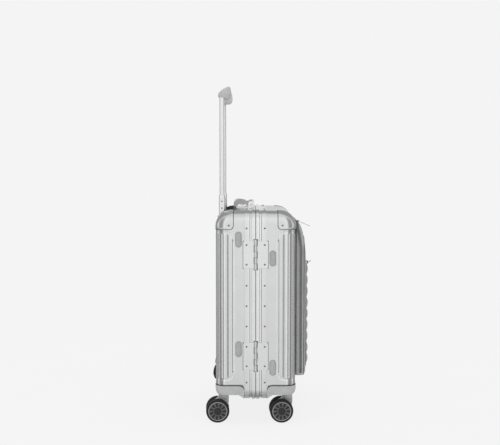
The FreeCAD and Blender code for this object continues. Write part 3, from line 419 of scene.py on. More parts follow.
def dress(thing, body, material, slot=None, replaces=None, bevel=0.0, bevel_steps=2, thickness=0.0,
          crease=35.0):
    """Finish of a piece: thickness, rounded edges, shading, material, body, slot (not used) and CAD nodes."""
    mesh = thing.data
    mesh.materials.clear()
    mesh.materials.append(material)
    for polygon in mesh.polygons:
        polygon.use_smooth = True
    if thickness:
        skin = thing.modifiers.new("thickness", "SOLIDIFY")
        skin.thickness = thickness * MM
        skin.offset = -1.0
        skin.use_even_offset = True
    if bevel:
        edge = thing.modifiers.new("edges", "BEVEL")
        edge.width = bevel * MM
        edge.segments = bevel_steps
        edge.limit_method = "ANGLE"
        edge.angle_limit = math.radians(crease)
        edge.harden_normals = True
        edge.use_clamp_overlap = True
    elif crease < 180:
        mesh.set_sharp_from_angle(angle=math.radians(crease))
    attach(thing, body)
    if replaces:
        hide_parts(replaces)
    return thing


def face_out(thing):
    with editing(thing) as work:
        bmesh.ops.recalc_face_normals(work, faces=work.faces)


def make(name, shape, body, material, slot=None, weld=0.02, recalc=True, **finish):
    """A finished piece from a shape."""
    thing = bare_object(name, shape, weld)
    if recalc:
        face_out(thing)
    return dress(thing, body, material, slot, **finish)


# ---------------------------------------------------------------- the half case

TOP_EDGE = 37.0
SIDE_EDGE = 26.0
BOTTOM_EDGE = 26.0
UPRIGHT_EDGE = 24.0
SHELL_WALL = 1.5
SHELL_START = 4.0
RIB_START = 55.5
RIB_TOP = 475.7
RIB_BOTTOM = 114.3
RIB_CORNER = 17.0
RIB_DEPTH = 1.15
RIB_GROOVE = 1.9
RIBS = 35


def inset(radius, distance):
    """How far a rounded edge has come in, at a distance from the face it runs into."""
    if distance >= radius:
        return 0.0
    return radius - math.sqrt(max(radius**2 - (radius - distance)**2, 0.0))


def squeezed(value, fixed, full, now):
    """value, with the stretch from fixed to full fitted between fixed and now."""
    return value if value <= fixed else fixed + (value - fixed) * (now - fixed) / (full - fixed)


class HalfCase:
    """The outer face of one half, grown by a distance, as a function of the way round and z.

    way is measured in plan from the edge of the rib zone on the hinge side, round the back
    (or front) to the same place on the latch side."""

    def __init__(self, side, grow=0.0):
        self.side = side
        self.grow = grow
        self.width = HALF_WIDTH + grow
        self.depth = HALF_DEPTH + grow
        self.bottom = CASE_BOTTOM - grow
        self.top = CASE_TOP + grow
        self.corner = UPRIGHT_EDGE + grow
        self.flank = HALF_DEPTH - UPRIGHT_EDGE - RIB_START
        self.bend = self.flank + UPRIGHT_EDGE * math.pi / 2
        self.half_way = self.bend + HALF_WIDTH - UPRIGHT_EDGE

    def plan(self, way, z):
        """(x, v) and the outward normal in plan, for side = 1."""
        mirror = -1 if way > self.half_way else 1
        way = min(way, 2 * self.half_way - way)
        above, below = self.top - z, z - self.bottom
        width = self.width - inset(SIDE_EDGE + self.grow, above) - inset(BOTTOM_EDGE + self.grow, below)
        depth = self.depth - inset(TOP_EDGE + self.grow, above) - inset(BOTTOM_EDGE + self.grow, below)
        if way <= self.flank:
            v = squeezed(RIB_START + way, 30.0, HALF_DEPTH - UPRIGHT_EDGE, depth - self.corner)
            return (-width * mirror, v), (-mirror, 0.0)
        if way <= self.bend:
            turn = (way - self.flank) / UPRIGHT_EDGE
            x = -width + self.corner - self.corner * math.cos(turn)
            v = depth - self.corner + self.corner * math.sin(turn)
            return (x * mirror, v), (-math.cos(turn) * mirror, math.sin(turn))
        reach = HALF_WIDTH - UPRIGHT_EDGE - (way - self.bend)
        x = squeezed(reach, 130.0, HALF_WIDTH - UPRIGHT_EDGE, width - self.corner)
        return (-x * mirror, depth), (0.0, 1.0)

    def point(self, way, z, dent=0.0):
        (x, v), (normal_x, normal_v) = self.plan(way, z)
        return x - normal_x * dent, (v - normal_v * dent) * self.side, z

    def stations(self, ribbed):
        """Ways at which the face has a column of points, and each one's groove depth from 0 to 1."""
        whole = 2 * self.half_way
        ways = [SHELL_START - RIB_START + k for k in (0, 8, 16, 23.8, 27, 33, 40, 46, 49)]
        if ribbed:
            pitch = whole / RIBS
            near = (0.0, 0.6, 1.2, 1.9, 3.6, 6.35)
            offsets = sorted({round(o, 3) for n in near for o in (n, pitch - n)})
            ways += [k * pitch + o for k in range(RIBS) for o in offsets if o < pitch - 0.01] + [whole]
        else:
            ways += [self.flank * k / 3 for k in range(3)]
            ways += [self.flank + (self.bend - self.flank) * k / 10 for k in range(11)]
            ways += [self.bend + (self.half_way - self.bend) * k / 16 for k in range(1, 17)]
            ways += [whole - way for way in ways if 0 <= way < self.half_way]
        ways += [whole - way for way in ways if way < 0]
        return sorted(set(round(way, 4) for way in ways))

    def groove(self, way, z):
        """Depth of the ribbing, in mm: narrow grooves with gently crowned ribs between them."""
        whole = 2 * self.half_way
        if not -RIB_GROOVE < way < whole + RIB_GROOVE:
            return 0.0
        pitch = whole / RIBS
        from_groove = abs((way + pitch / 2) % pitch - pitch / 2)
        into = min(way, whole - way)
        lift = inset(RIB_CORNER, max(into, 0.0)) if into < RIB_CORNER else 0.0
        end = min(RIB_TOP - lift - z, z - RIB_BOTTOM - lift)
        line = max(0.0, 1 - (from_groove / RIB_GROOVE)**2)**2
        crown = 0.34 * (1 - math.cos(2 * math.pi * from_groove / pitch)) / 2
        fade = smoothstep(end / 7.0)
        border = 0.55 * math.exp(-(end / 1.6)**2) * smoothstep((into + 3) / 4)
        return RIB_DEPTH * max((line * 0.9 - crown) * fade + 0.1 * fade, border)

    def levels(self, ribbed):
        """Heights of the rows of points."""
        edge = TOP_EDGE + self.grow
        foot = BOTTOM_EDGE + self.grow
        rows = [self.bottom + foot * (1 - math.cos(math.radians(a))) for a in range(0, 91, 10)]
        rows += [98.0, 103.0]
        if ribbed:
            rows += [RIB_BOTTOM - 6 + 2 * k for k in range(17)] + [RIB_TOP - 26 + 2 * k for k in range(17)]
        else:
            rows += [CASE_MIDDLE]
        rows += [483.3] + [self.top - edge * (1 - math.sin(math.radians(a))) for a in range(0, 91, 8)]
        rows += [self.top]
        return sorted(set(round(z, 4) for z in rows))

    def mesh(self, ribbed=False, tray=None):
        """The face as a shape, with its flat top and bottom; tray = (half width, v, z) is left open."""
        ways = self.stations(ribbed)
        if tray:
            for way in (self.half_way - tray[0], self.half_way + tray[0]):
                ways = sorted([w for w in ways if abs(w - way) > 0.8] + [way])
        levels = self.levels(ribbed)
        if tray:
            levels = sorted([z for z in levels if abs(z - tray[2]) > 0.8] + [tray[2]])
        rows = [[self.point(way, z, self.groove(way, z) if ribbed else 0.0) for way in ways]
                for z in levels]
        points, faces = grid(rows)
        count = len(ways)
        opened = set()
        if tray:
            inside = [abs(way - self.half_way) < tray[0] - 0.01 for way in ways]
            columns = [(a + b) / 2 - self.half_way for a, b in zip(ways, ways[1:])]
            opened = {i for i in range(len(faces))
                      if levels[i // (count - 1)] > tray[2] - 0.01
                      and abs(columns[i % (count - 1)]) < tray[0]}
        faces = [face for i, face in enumerate(faces) if i not in opened]
        bottom_row = list(range(count))
        top_row = [len(points) - count + i for i in range(count)]
        if tray:
            first, last = inside.index(True), count - 1 - inside[::-1].index(True)
            points += [(-tray[0], tray[1] * self.side, self.top), (tray[0], tray[1] * self.side, self.top)]
            top_row = top_row[:first] + [len(points) - 2, len(points) - 1] + top_row[last + 1:]
        faces.append(tuple(reversed(bottom_row)))
        faces.append(tuple(top_row))
        if self.side > 0:
            faces = [tuple(reversed(face)) for face in faces]
        return points, faces


def smoothstep(value):
    value = min(max(value, 0.0), 1.0)
    return value * value * (3 - 2 * value)


def bisect(work, plane, **keep):
    everything = [*work.verts, *work.edges, *work.faces]
    point, direction = to_row(*plane[0]), Vector(plane[1])
    bmesh.ops.bisect_plane(work, geom=everything, plane_co=point, plane_no=direction, **keep)


def trim(thing, planes):
    """Keeps the part of a mesh behind every plane, given as (point, outward direction) in case terms."""
    with editing(thing) as work:
        for plane in planes:
            bisect(work, plane, clear_outer=True)


def corner_planes(start, sides, radius, steps=4):
    """Planes that keep what is beyond start on three axes, with the corners of that cut rounded."""
    planes = []
    for axis in range(3):
        direction = [0.0, 0.0, 0.0]
        direction[axis] = -sides[axis]
        planes.append((start, tuple(direction)))
    for first, second in ((0, 1), (1, 2), (0, 2)):
        for step in range(1, steps):
            turn = math.pi / 2 * step / steps
            direction = [0.0, 0.0, 0.0]
            direction[first] = -sides[first] * math.cos(turn)
            direction[second] = -sides[second] * math.sin(turn)
            centre = [start[i] + sides[i] * radius for i in range(3)]
            on_arc = [centre[i] + direction[i] * radius for i in range(3)]
            planes.append((tuple(on_arc), tuple(direction)))
    return planes


# ---------------------------------------------------------------- shells, caps and housings

TRAY_HALF = high("trolley_tray").x - CASE_X
TRAY_FRONT = low("trolley_tray").y - PARTING_Y + 3.0
TRAY_SILL = low("trolley_tray").z
CAP_START = low("back_top_corner_caps").y - PARTING_Y
CAP_BOTTOM = low("back_top_corner_caps").z
CAP_INNER = HALF_WIDTH - 52.0
HOUSING_START = low("back_wheel_housings").y - PARTING_Y
HOUSING_INNER = 100.0
HOUSING_TOP = high("back_wheel_housings").z


def shells():
    for name, (side, body) in HALVES.items():
        case = HalfCase(side)
        tray = (TRAY_HALF, TRAY_FRONT, TRAY_SILL - 7.0) if side > 0 else None
        points, faces = case.mesh(ribbed=True, tray=tray)

        def in_housing(face):
            x, v, z = (sum(points[i][axis] for i in face) / len(face) for axis in range(3))
            return abs(x) > HOUSING_INNER + 2 and abs(v) > HOUSING_START + 2 and z < HOUSING_TOP - 2
        faces = [face for face in faces if len(face) > 4 or not in_housing(face)]
        floor = [face for face in faces if len(face) > 4 and points[face[0]][2] < CASE_MIDDLE]
        faces = [face for face in faces if face not in floor]
        make(f"{name}_ribbed_shell", (points, faces), body, SHELL_METAL,
             replaces=f"{name}_shell", recalc=False, thickness=SHELL_WALL, crease=60)
        wide, narrow = HALF_WIDTH - BOTTOM_EDGE, HOUSING_INNER + 1.5
        near, far = SHELL_START, HALF_DEPTH - BOTTOM_EDGE + 4
        step = HOUSING_START + 1.5
        outline = [(-wide, near), (wide, near), (wide, step), (narrow, step), (narrow, far), (-narrow, far),
                   (-narrow, step), (-wide, step)]
        floor_plate = prism(outline, CASE_BOTTOM, CASE_BOTTOM + SHELL_WALL, along_z(0, 0, 0))
        make(f"{name}_shell_bottom", turned_out(side, floor_plate), body, SHELL_METAL, bevel=0.3)


def corner_caps():
    for name, (side, body) in HALVES.items():
        for hand, sign in HANDS:
            thing = bare_object(f"{name}_{hand}_corner_cap", HalfCase(side, grow=1.1).mesh(), weld=0.01)
            start = (CAP_INNER * sign, CAP_START * side, CAP_BOTTOM)
            trim(thing, corner_planes(start, (sign, side, 1), 10.0))
            dress(thing, body, CAP_METAL, replaces=f"{name}_top_corner_caps", thickness=1.4,
                  bevel=0.35, crease=50)
            place = along_x((HALF_WIDTH + 1.1) * sign, (CAP_START + 10.5) * side, CAP_BOTTOM + 9.7, sign)
            label = f"{name}_{hand}_cap_rivet"
            make(f"{label}_0", lathe(RIVET_HEAD, place, 16), body, STEEL, crease=50)
            # The dark disc on the cap rivet is painted shade of its hollow middle.
            make(f"{label}_centre_0", lathe(RIVET_CENTRE, place, 14), body, DARK_STEEL_AND_PAINTED_SHADE, crease=40)


def rivet_profile(radius, height):
    """Half section of a domed rivet head."""
    turns = [math.radians(a) for a in range(0, 90, 15)]
    dome = [(radius * math.cos(a), height * math.sin(a)) for a in turns]
    return [(radius, -0.4)] + dome + [(0.05, height)]


RIVET_HEAD = rivet_profile(2.5, 1.0)
# A raised dark disc on a rivet head, painted shade of the rivet's hollow middle.
RIVET_CENTRE = [(0.05, 0.6), (1.7, 0.6), (1.7, 1.02), (1.4, 1.1), (0.05, 1.12)]


def housings():
    """Moulded bottom corners: skin, raised floor over the caster and inner walls."""
    for name, (side, body) in HALVES.items():
        for hand, sign in HANDS:
            label = f"{name}_{hand}"
            thing = bare_object(f"{label}_wheel_housing", HalfCase(side, grow=1.3).mesh(), weld=0.01)
            start = (HOUSING_INNER * sign, HOUSING_START * side, HOUSING_TOP)
            trim(thing, corner_planes(start, (sign, side, -1), 13.0))
            open_below(thing, side)
            dress(thing, body, GREY_PLASTIC, replaces=f"{name}_wheel_housings", thickness=3.0,
                  bevel=0.7, crease=50)
            case = HalfCase(side)
            ways = [HOUSING_START - RIB_START + 6 * k for k in range(5)]
            ways += [case.flank + (case.bend - case.flank) * k / 8 for k in range(9)]
            ways += [case.half_way - HOUSING_INNER]
            outline = [case.plan(way, WELL_FLOOR + 2)[0] for way in sorted(ways)]
            outline.append((-HOUSING_INNER, HOUSING_START))
            outline = [(-x * sign, v * side) for x, v in outline]
            plate = prism(outline, WELL_FLOOR, WELL_FLOOR + 3, along_z(0, 0, 0))
            make(f"{label}_housing_floor", plate, body, GREY_PLASTIC, bevel=0.5)
            inner, near, far = HOUSING_INNER * sign, HOUSING_START * side, (HALF_DEPTH - 18) * side
            outer = (HALF_WIDTH - 18) * sign
            walls = [(inner, near), (outer, near), (outer, near + 3 * side),
                     (inner + 3 * sign, near + 3 * side), (inner + 3 * sign, far), (inner, far)]
            wall = prism(walls, CASE_BOTTOM - 0.8, HOUSING_TOP - 1.0, along_z(0, 0, 0))
            make(f"{label}_housing_wall", wall, body, GREY_PLASTIC, bevel=0.6)


WELL_FLOOR = 75.0
WELL_EDGE, WELL_BEND = 38.0, 72.0


def open_below(thing, side):
    """Cuts the skin of a housing away below its floor, except beside the frame."""
    with editing(thing) as work:
        bisect(work, ((0, 0, WELL_FLOOR), (0, 0, 1)))
        bisect(work, ((0, WELL_EDGE * side, WELL_BEND), (0, 0.6 * side, -0.8)))
        gone = []
        for face in work.faces:
            centre = from_row(face.calc_center_median() / MM)
            beyond = 0.6 * (centre.y * side - WELL_EDGE) - 0.8 * (centre.z - WELL_BEND)
            if centre.z < WELL_FLOOR - 0.01 and beyond > 0.0:
                gone.append(face)
        bmesh.ops.delete(work, geom=gone, context="FACES")


# ---------------------------------------------------------------- frames

BEAD_MIDDLE = 5.5
FLANGE_START, FLANGE_END = 15.0, 27.5
RIVET_LINE = 22.2
FRAME_SHEET = 1.5
HINGE_PLACES = {"upper": 421.9, "lower": 172.3}
BARREL = 73.0


def case_loop(steps=12):
    """Points (x, z) and outward normals round the case in front view, with stops at the hinge notches."""
    radius = 26.0
    loop = []
    notch_edges = [z + sign * (BARREL / 2 + 1.5) for z in sorted(HINGE_PLACES.values()) for sign in (-1, 1)]
    for corner_x, corner_z, start in ((1, 1, 0), (-1, 1, 90), (-1, -1, 180), (1, -1, 270)):
        centre = (corner_x * (HALF_WIDTH - radius),
                  CASE_MIDDLE + corner_z * (CASE_TOP - CASE_MIDDLE - radius))
        for x, z in arc(centre, radius, start, start + 90, steps):
            loop.append((x, z, (x - centre[0]) / radius, (z - centre[1]) / radius))
        if (corner_x, corner_z) == (-1, 1):
            for z in reversed(notch_edges):
                loop += [(-HALF_WIDTH, z + 0.01, -1.0, 0.0), (-HALF_WIDTH, z - 0.01, -1.0, 0.0)]
    return loop


def in_notch(x, z):
    return x < -HALF_WIDTH + 0.5 and any(abs(z - place) < BARREL / 2 + 1.5 for place in HINGE_PLACES.values())


def frames():
    """Extruded frame halves: a round bead at the parting line, a hollow and a riveted flange."""
    crown = [-3.35, -3.1, -2.6, -1.8, -0.9, 0.0, 0.9, 1.8, 2.6, 3.1, 3.35]
    bead = [(BEAD_MIDDLE + s, 3.2 - 0.033 * s * s - (0.55 if abs(s) > 3.2 else 0.0)) for s in crown]
    bead = [(2.05, 1.7)] + bead + [(8.95, 1.2)]
    hollow = [(9.1, 0.8), (10.2, 0.45), (11.8, 0.35), (13.4, 0.5), (14.6, 1.0)]
    flange = [(FLANGE_START, 1.42), (FLANGE_START + 0.6, FRAME_SHEET), (FLANGE_END - 0.5, FRAME_SHEET),
              (FLANGE_END, FRAME_SHEET - 0.4), (FLANGE_END, -0.1)]
    under = [(4.0, -0.1), (4.0, -2.7), (0.6, -2.7), (0.6, 1.7)]
    profile = bead + hollow + flange + under
    for name, (side, body) in HALVES.items():
        rows = []
        for x, z, normal_x, normal_z in case_loop():
            cut = in_notch(x, z)
            row = []
            for v, out in profile:
                if cut and v < 9.0:
                    out = min(out, 0.25)
                row.append((x + normal_x * out, v, z + normal_z * out))
            rows.append(row)
        shape = grid(rows + [rows[0]], closed=True)
        make(f"{name}_frame_extrusion", turned_out(side, shape), body, FRAME_METAL,
             replaces=f"{name}_frame", crease=38, weld=0.001)


def rivet_row(side, profile, steps, under):
    """A rivet part at each place along one frame half; under adds the row beneath the case."""
    line, out = RIVET_LINE * side, HALF_WIDTH + FRAME_SHEET
    pieces = []
    for z in (486.2, 346.2, 296.1, 246.1, 107.6):
        pieces += [lathe(profile, along_x(out * sign, line, z, sign), steps) for sign in (-1, 1)]
    for place in HINGE_PLACES.values():
        for offset in (-24, 24):
            pieces.append(lathe(profile, along_x(-out - LEAF, line, place + offset, -1), steps))
    for x in (-150, -100, 100, 150):
        pieces.append(lathe(profile, along_z(x, line, CASE_TOP + FRAME_SHEET, 1), steps))
        if under:
            pieces.append(lathe(profile, along_z(x, line, CASE_BOTTOM - FRAME_SHEET, -1), steps))
    return join(*pieces)


def rivets():
    for name, (side, body) in HALVES.items():
        make(f"{name}_rivet_heads", rivet_row(side, RIVET_HEAD, 16, True), body, STEEL,
             replaces=f"{name}_frame_rivets", crease=50)


# ---------------------------------------------------------------- hinges, pads and runners

LEAF = 1.6
LEAF_REACH = 30.5
LEAF_HALF = 33.5
KNUCKLE_RADIUS = 3.9
HINGE_OUT = 4.6


def hinges():
    """One leaf of each hinge, with its share of the five knuckles round the pin."""
    for name, (side, body) in HALVES.items():
        pieces = []
        for place in HINGE_PLACES.values():
            near, far = KNUCKLE_RADIUS + 0.8, LEAF_REACH
            outline = [(near, place - LEAF_HALF)] + arc((far - 3, place - LEAF_HALF + 3), 3, -90, 0, 5)
            outline += arc((far - 3, place + LEAF_HALF - 3), 3, 0, 90, 5) + [(near, place + LEAF_HALF)]
            plate = prism(outline, HALF_WIDTH + FRAME_SHEET, HALF_WIDTH + FRAME_SHEET + LEAF,
                          lambda a, b, out: (-out, a, b))
            pieces.append(turned_out(side, plate))
            share = BARREL / 5
            for index in ((0, 2, 4) if side > 0 else (1, 3)):
                start = place - BARREL / 2 + share * index + 0.15
                length = share - 0.3
                radius, waist = KNUCKLE_RADIUS, KNUCKLE_RADIUS - 0.5
                profile = [(2.1, 0), (waist, 0), (radius, 0.5), (radius, length - 0.5), (waist, length),
                           (2.1, length)]
                pieces.append(torus(profile, along_z(-HALF_WIDTH - HINGE_OUT, 0, start), 28))
                web_top = HALF_WIDTH + FRAME_SHEET + 0.3
                web = [(HALF_WIDTH + 0.6, 1.5 * side), (web_top, 1.5 * side), (web_top, 5.2 * side),
                       (HALF_WIDTH + 0.6, 5.2 * side)]
                pieces.append(prism([(-a, b) for a, b in web], start, start + length, along_z(0, 0, 0)))
        make(f"{name}_hinge_plates", join(*pieces), body, BRIGHT_METAL,
             replaces=f"{name}_hinge_leaves", bevel=0.35, crease=40)
        # Dark strips under the knuckles and just past each leaf's outer edge: painted shade of the gaps
        # beneath the leaf and barrel.
        strips = []
        for place in HINGE_PLACES.values():
            inner, outer = -HALF_WIDTH - 1.1, -HALF_WIDTH - 0.3
            strips.append(block((inner, outer), sorted((0.4 * side, 5.4 * side)),
                                (place - BARREL / 2 - 1.2, place + BARREL / 2 + 1.2)))
            strips.append(block((-HALF_WIDTH - 0.7, -HALF_WIDTH), sorted((27.7 * side, 31.4 * side)),
                                (place - LEAF_HALF - 0.4, place + LEAF_HALF + 0.4)))
        make(f"{name}_hinge_backing", join(*strips), body, SEAL_RUBBER_AND_PAINTED_SHADE, bevel=0.15)
    for label, place in HINGE_PLACES.items():
        ends = [(0.05, BARREL / 2 + 1.4), (1.6, BARREL / 2 + 1.2), (2.3, BARREL / 2 + 0.4)]
        profile = [(radius, -height) for radius, height in ends] + ends[::-1]
        pin = lathe(profile, along_z(-HALF_WIDTH - HINGE_OUT, 0, place), 20)
        make(f"{label}_hinge_pin", pin, "base", STEEL, replaces="hinge_pins", crease=40)


def side_pads():
    """Stadium-shaped rubber bumpers with a fine groove inside the rim."""
    section = [(0.0, -0.3), (0.0, 1.7), (0.35, 2.3), (1.0, 2.55), (1.6, 2.5), (1.9, 2.0), (2.3, 2.0),
               (2.6, 2.6), (3.4, 2.95), (5.0, 3.15), (7.0, 3.2)]
    for name, (side, body), places in (("back", HALVES["back"], (458.8, 189.9)),
                                       ("front", HALVES["front"], (412.6, 143.7))):
        pieces = []
        for place in places:
            rings = []
            for inwards, out in section:
                outline = rounded(8.5 - inwards, 19.5 - inwards, 8.4 - inwards, 10, (42.0 * side, place))
                rings.append([(-HALF_WIDTH - out, v, z) for v, z in outline])
            pieces.append(solid(rings))
        make(f"{name}_bumper_pads", join(*pieces), body, PAD_RUBBER, replaces=f"{name}_side_pads",
             crease=55)


def runners():
    """Domed bumpers low on the back."""
    box_low, box_high = from_row(low("back_runners")), from_row(high("back_runners"))
    rise, half = box_high.y - HALF_DEPTH, (box_high.z - box_low.z) / 2
    radius = (half**2 + rise**2) / (2 * rise)
    centre_z = (box_high.z + box_low.z) / 2
    turn = math.degrees(math.asin(half / radius))
    pieces = []
    for sign in (-1, 1):
        inner = box_high.x - 36.0
        rings = []
        for x, shrink in ((0, 2.2), (0.7, 0.9), (2.2, 0.0), (33.8, 0.0), (35.3, 0.9), (36, 2.2)):
            bow = arc((HALF_DEPTH + rise - radius, centre_z), radius - shrink, -turn, turn, 16)
            rings.append([((inner + x) * sign, max(v, HALF_DEPTH - 1), z)
                          for v, z in bow + [(HALF_DEPTH - 1.5, bow[-1][1]), (HALF_DEPTH - 1.5, bow[0][1])]])
        pieces.append(solid(rings))
        for offset in (-12, -4, 4, 12):
            line = arc((HALF_DEPTH + rise - radius, centre_z), radius + 0.1, -turn * 0.72, turn * 0.72, 14)
            path = [((inner + 18 + offset) * sign, v, z) for v, z in line]
            pieces.append(pipe(path, 0.7, 8))
    make("runner_bumpers", join(*pieces), "base", BLACK_PLASTIC, replaces="back_runners",
         crease=50)


# ---------------------------------------------------------------- cutting and soft outlines

def settle(thing):
    """Applies every modifier of an object."""
    depsgraph = bpy.context.evaluated_depsgraph_get()
    mesh = bpy.data.meshes.new_from_object(thing.evaluated_get(depsgraph))
    thing.modifiers.clear()
    thing.data = mesh


def cut(thing, *shapes):
    """Cuts closed shapes out of a closed mesh."""
    face_out(thing)
    for shape in shapes:
        tool = bare_object("cutter", shape)
        face_out(tool)
        step = thing.modifiers.new("cut", "BOOLEAN")
        step.operation = "DIFFERENCE"
        step.solver = "EXACT"
        step.object = tool
        settle(thing)
        bpy.data.objects.remove(tool)
    return thing


def softened(points, radius, steps=4):
    """A closed outline with its corners rounded off."""
    outline = []
    for i, point in enumerate(points):
        corner = Vector(point)
        before, after = Vector(points[i - 1]) - corner, Vector(points[(i + 1) % len(points)]) - corner
        reach = min(radius, before.length * 0.48, after.length * 0.48)
        start, end = corner + before.normalized() * reach, corner + after.normalized() * reach
        for k in range(steps + 1):
            t = k / steps
            outline.append(tuple(start * (1 - t)**2 + corner * (2 * t * (1 - t)) + end * t**2))
    return outline


def bar(outline, half, end_radius, steps=6):
    """Bar along x with the (v, z) outline, and its ends rounded."""
    middle_v = sum(p[0] for p in outline) / len(outline)
    middle_z = sum(p[1] for p in outline) / len(outline)
    size = max(abs(p[1] - middle_z) for p in outline)
    rings = []
    for sign in (-1, 1):
        ends = []
        for k in range(steps + 1):
            turn = math.pi / 2 * k / steps
            x = half - end_radius + end_radius * math.sin(turn)
            shrink = 1 - end_radius * (1 - math.cos(turn)) / size
            ends.append([(sign * x, middle_v + (v - middle_v) * shrink, middle_z + (z - middle_z) * shrink)
                         for v, z in outline])
        rings += ends if sign > 0 else ends[::-1]
    return solid(rings)


def collar(x, v, outer, inner, z):
    """Rounded rectangular ring; outer and inner are (half width, half depth, corner radius)."""
    outer_line = rounded(*outer, 4, (x, v))
    inner_line = rounded(*inner, 4, (x, v))
    rows = [[(a, b, z[0]) for a, b in outer_line], [(a, b, z[1]) for a, b in outer_line],
            [(a, b, z[1]) for a, b in inner_line], [(a, b, z[0]) for a, b in inner_line]]
    return grid(rows + [rows[0]], closed=True)


def stitches(points, normal, spacing=3.6, length=2.4, radius=0.28):
    """Short threads laid along a line of points."""
    pieces = []
    travelled = 0.0
    for start, end in zip(points, points[1:]):
        start, end = Vector(start), Vector(end)
        run = (end - start).length
        while travelled < run:
            first = start + (end - start) * (travelled / run)
            last = first + (end - start).normalized() * length
            lift = Vector(normal) * radius * 0.5
            pieces.append(pipe([first, first + (last - first) * 0.5 + lift, last], radius, 5))
            travelled += spacing
        travelled -= run
    return pieces


# ---------------------------------------------------------------- painted shadow lines under caps and housings

def painted_shadow_lines():
    """Thin dark strips under the edges of the caps and housings: painted shadow lines round them."""
    for name, (side, body) in HALVES.items():
        for hand, sign in HANDS:
            edge = 1.5
            for what, start, way_z, radius in (
                    ("cap", (CAP_INNER, CAP_START, CAP_BOTTOM), 1, 11.0),
                    ("housing", (HOUSING_INNER, HOUSING_START, HOUSING_TOP), -1, 14.0)):
                skin = HalfCase(side, grow=0.45).mesh()
                thing = bare_object(f"{name}_{hand}_{what}_gasket", skin, weld=0.01)
                corner = ((start[0] - edge) * sign, (start[1] - edge) * side, start[2] - edge * way_z)
                trim(thing, corner_planes(corner, (sign, side, way_z), radius))
                if what == "housing":
                    open_below(thing, side)
                dress(thing, body, SEAL_RUBBER_AND_PAINTED_SHADE, thickness=0.7, crease=50)


# ---------------------------------------------------------------- casters

CASTER_NAMES = [f"{half}_{hand}" for half in ("back", "front") for hand in ("left", "right")]
JOINTS = {joint["name"]: joint for joint in frame["record"]["behaviour"]["joints"]}
WHEEL_RADIUS = 29.0
HALF_TYRE = 8.5
HUB_SLOTS = 11


def joint_place(name):
    return from_row(Vector(JOINTS[name]["pos_m"]) / MM)


def turned_plan(centre, name):
    """Turns (along the axle, along the trail, z) of a caster into a point of the case's frame."""
    along = JOINTS[f"{name}_outer_spin"]["axis"]
    return lambda a, b, z: (centre.x + along[0] * a - along[1] * b, centre.y + along[1] * a + along[0] * b, z)


def casters():
    for name in CASTER_NAMES:
        kingpin = joint_place(f"{name}_swivel")
        place = turned_plan(kingpin, name)
        outline = softened([(-12.3, 67), (-12.3, 46), (-8, 36), (2, 21), (15.5, 16), (27, 23), (30.5, 40),
                            (25.5, 51.5), (14, 59), (12.3, 67)], 7.0)
        half = 6.3
        plate = [[place(a, b, z) for b, z in outline] for a in (-half, half)]
        neck = lathe([(0.5, 58.5), (11.8, 58.5), (12.4, 60), (12.4, 69.5), (13.6, 72.0), (14.8, 73.2),
                      (14.8, 74.3), (0.5, 74.3)], place, 40)
        make(f"{name}_fork", join(solid(plate), neck), f"{name}_caster", FORK_PLASTIC,
             replaces=f"{name}_caster_fork", bevel=0.9, bevel_steps=3, crease=40)
        for which in ("outer", "inner"):
            wheel(f"{name}_{which}", name, kingpin)


def wheel(label, name, kingpin):
    centre = joint_place(f"{label}_spin")
    along = JOINTS[f"{label}_spin"]["axis"]
    away = 1 if (centre.x - kingpin.x) * along[0] + (centre.y - kingpin.y) * along[1] > 0 else -1
    spot = turned_plan(Vector((centre.x, centre.y, 0)), name)

    def place(a, b, height):
        return spot(height * away, a * away, WHEEL_RADIUS + b)

    shoulder = 4.2
    section = [(23.4, -HALF_TYRE + 0.3)]
    section += arc((WHEEL_RADIUS - shoulder, shoulder - HALF_TYRE), shoulder, -90, 0, 6)[1:]
    section += [(WHEEL_RADIUS, -0.5), (WHEEL_RADIUS - 0.25, 0.0), (WHEEL_RADIUS, 0.5)]
    section += arc((WHEEL_RADIUS - shoulder, HALF_TYRE - shoulder), shoulder, 0, 90, 6)[:-1]
    section += [(24.6, HALF_TYRE), (23.7, HALF_TYRE - 0.1), (23.4, HALF_TYRE - 0.6)]
    make(f"{label}_tyre", torus(section, place, 72), label, TYRE_RUBBER,
         replaces=f"{label}_wheel", crease=50)

    step = math.pi / HUB_SLOTS

    def row(radius, height, sunk=0.0):
        points = []
        for k in range(HUB_SLOTS):
            half_slot = 1.55 / max(radius, 6.0)
            for offset, sunken in ((-half_slot - 0.03, 0), (-half_slot, 1), (half_slot, 1),
                                   (half_slot + 0.03, 0), (step * 0.55, 0), (step, 0), (step * 1.45, 0)):
                turn = 2 * math.pi * k / HUB_SLOTS + offset
                points.append(place(radius * math.cos(turn), radius * math.sin(turn), height - sunk * sunken))
        return points

    deep = 2.6
    rows = [row(3.2, -7.4), row(23.5, -7.4), row(23.5, 8.2), row(23.1, 8.6), row(22.1, 8.6), row(21.8, 8.2),
            row(21.8, 7.3), row(20.6, 7.2), row(20.4, 7.2, deep), row(16.0, 7.1, deep), row(12.3, 7.0, deep),
            row(12.1, 7.0), row(10.0, 7.0), row(9.4, 7.6), row(8.9, 7.6), row(8.8, 6.6), row(0.5, 6.6)]
    hub = make(f"{label}_hub", solid(rows), label, HUB_PLASTIC, weld=0.0, crease=32)
    hub.data.materials.append(HUB_RIM)
    hub.data.materials.append(BLACK_PLASTIC)
    count = len(rows[0])
    for index, polygon in enumerate(hub.data.polygons):
        band, spoke = index // count, index % count
        if band in (2, 3, 4, 5):
            polygon.material_index = 1
        elif 7 <= band <= 10 and spoke % 7 in (0, 1, 2):
            polygon.material_index = 2
    cap = [(0.4, 6.4), (8.7, 6.4), (8.7, 7.8), (8.2, 8.35), (6.4, 8.45), (6.1, 8.2), (0.4, 8.3)]
    make(f"{label}_hub_cap", lathe(cap, place, 40), label, BLACK_PLASTIC, crease=40)


# ---------------------------------------------------------------- trolley

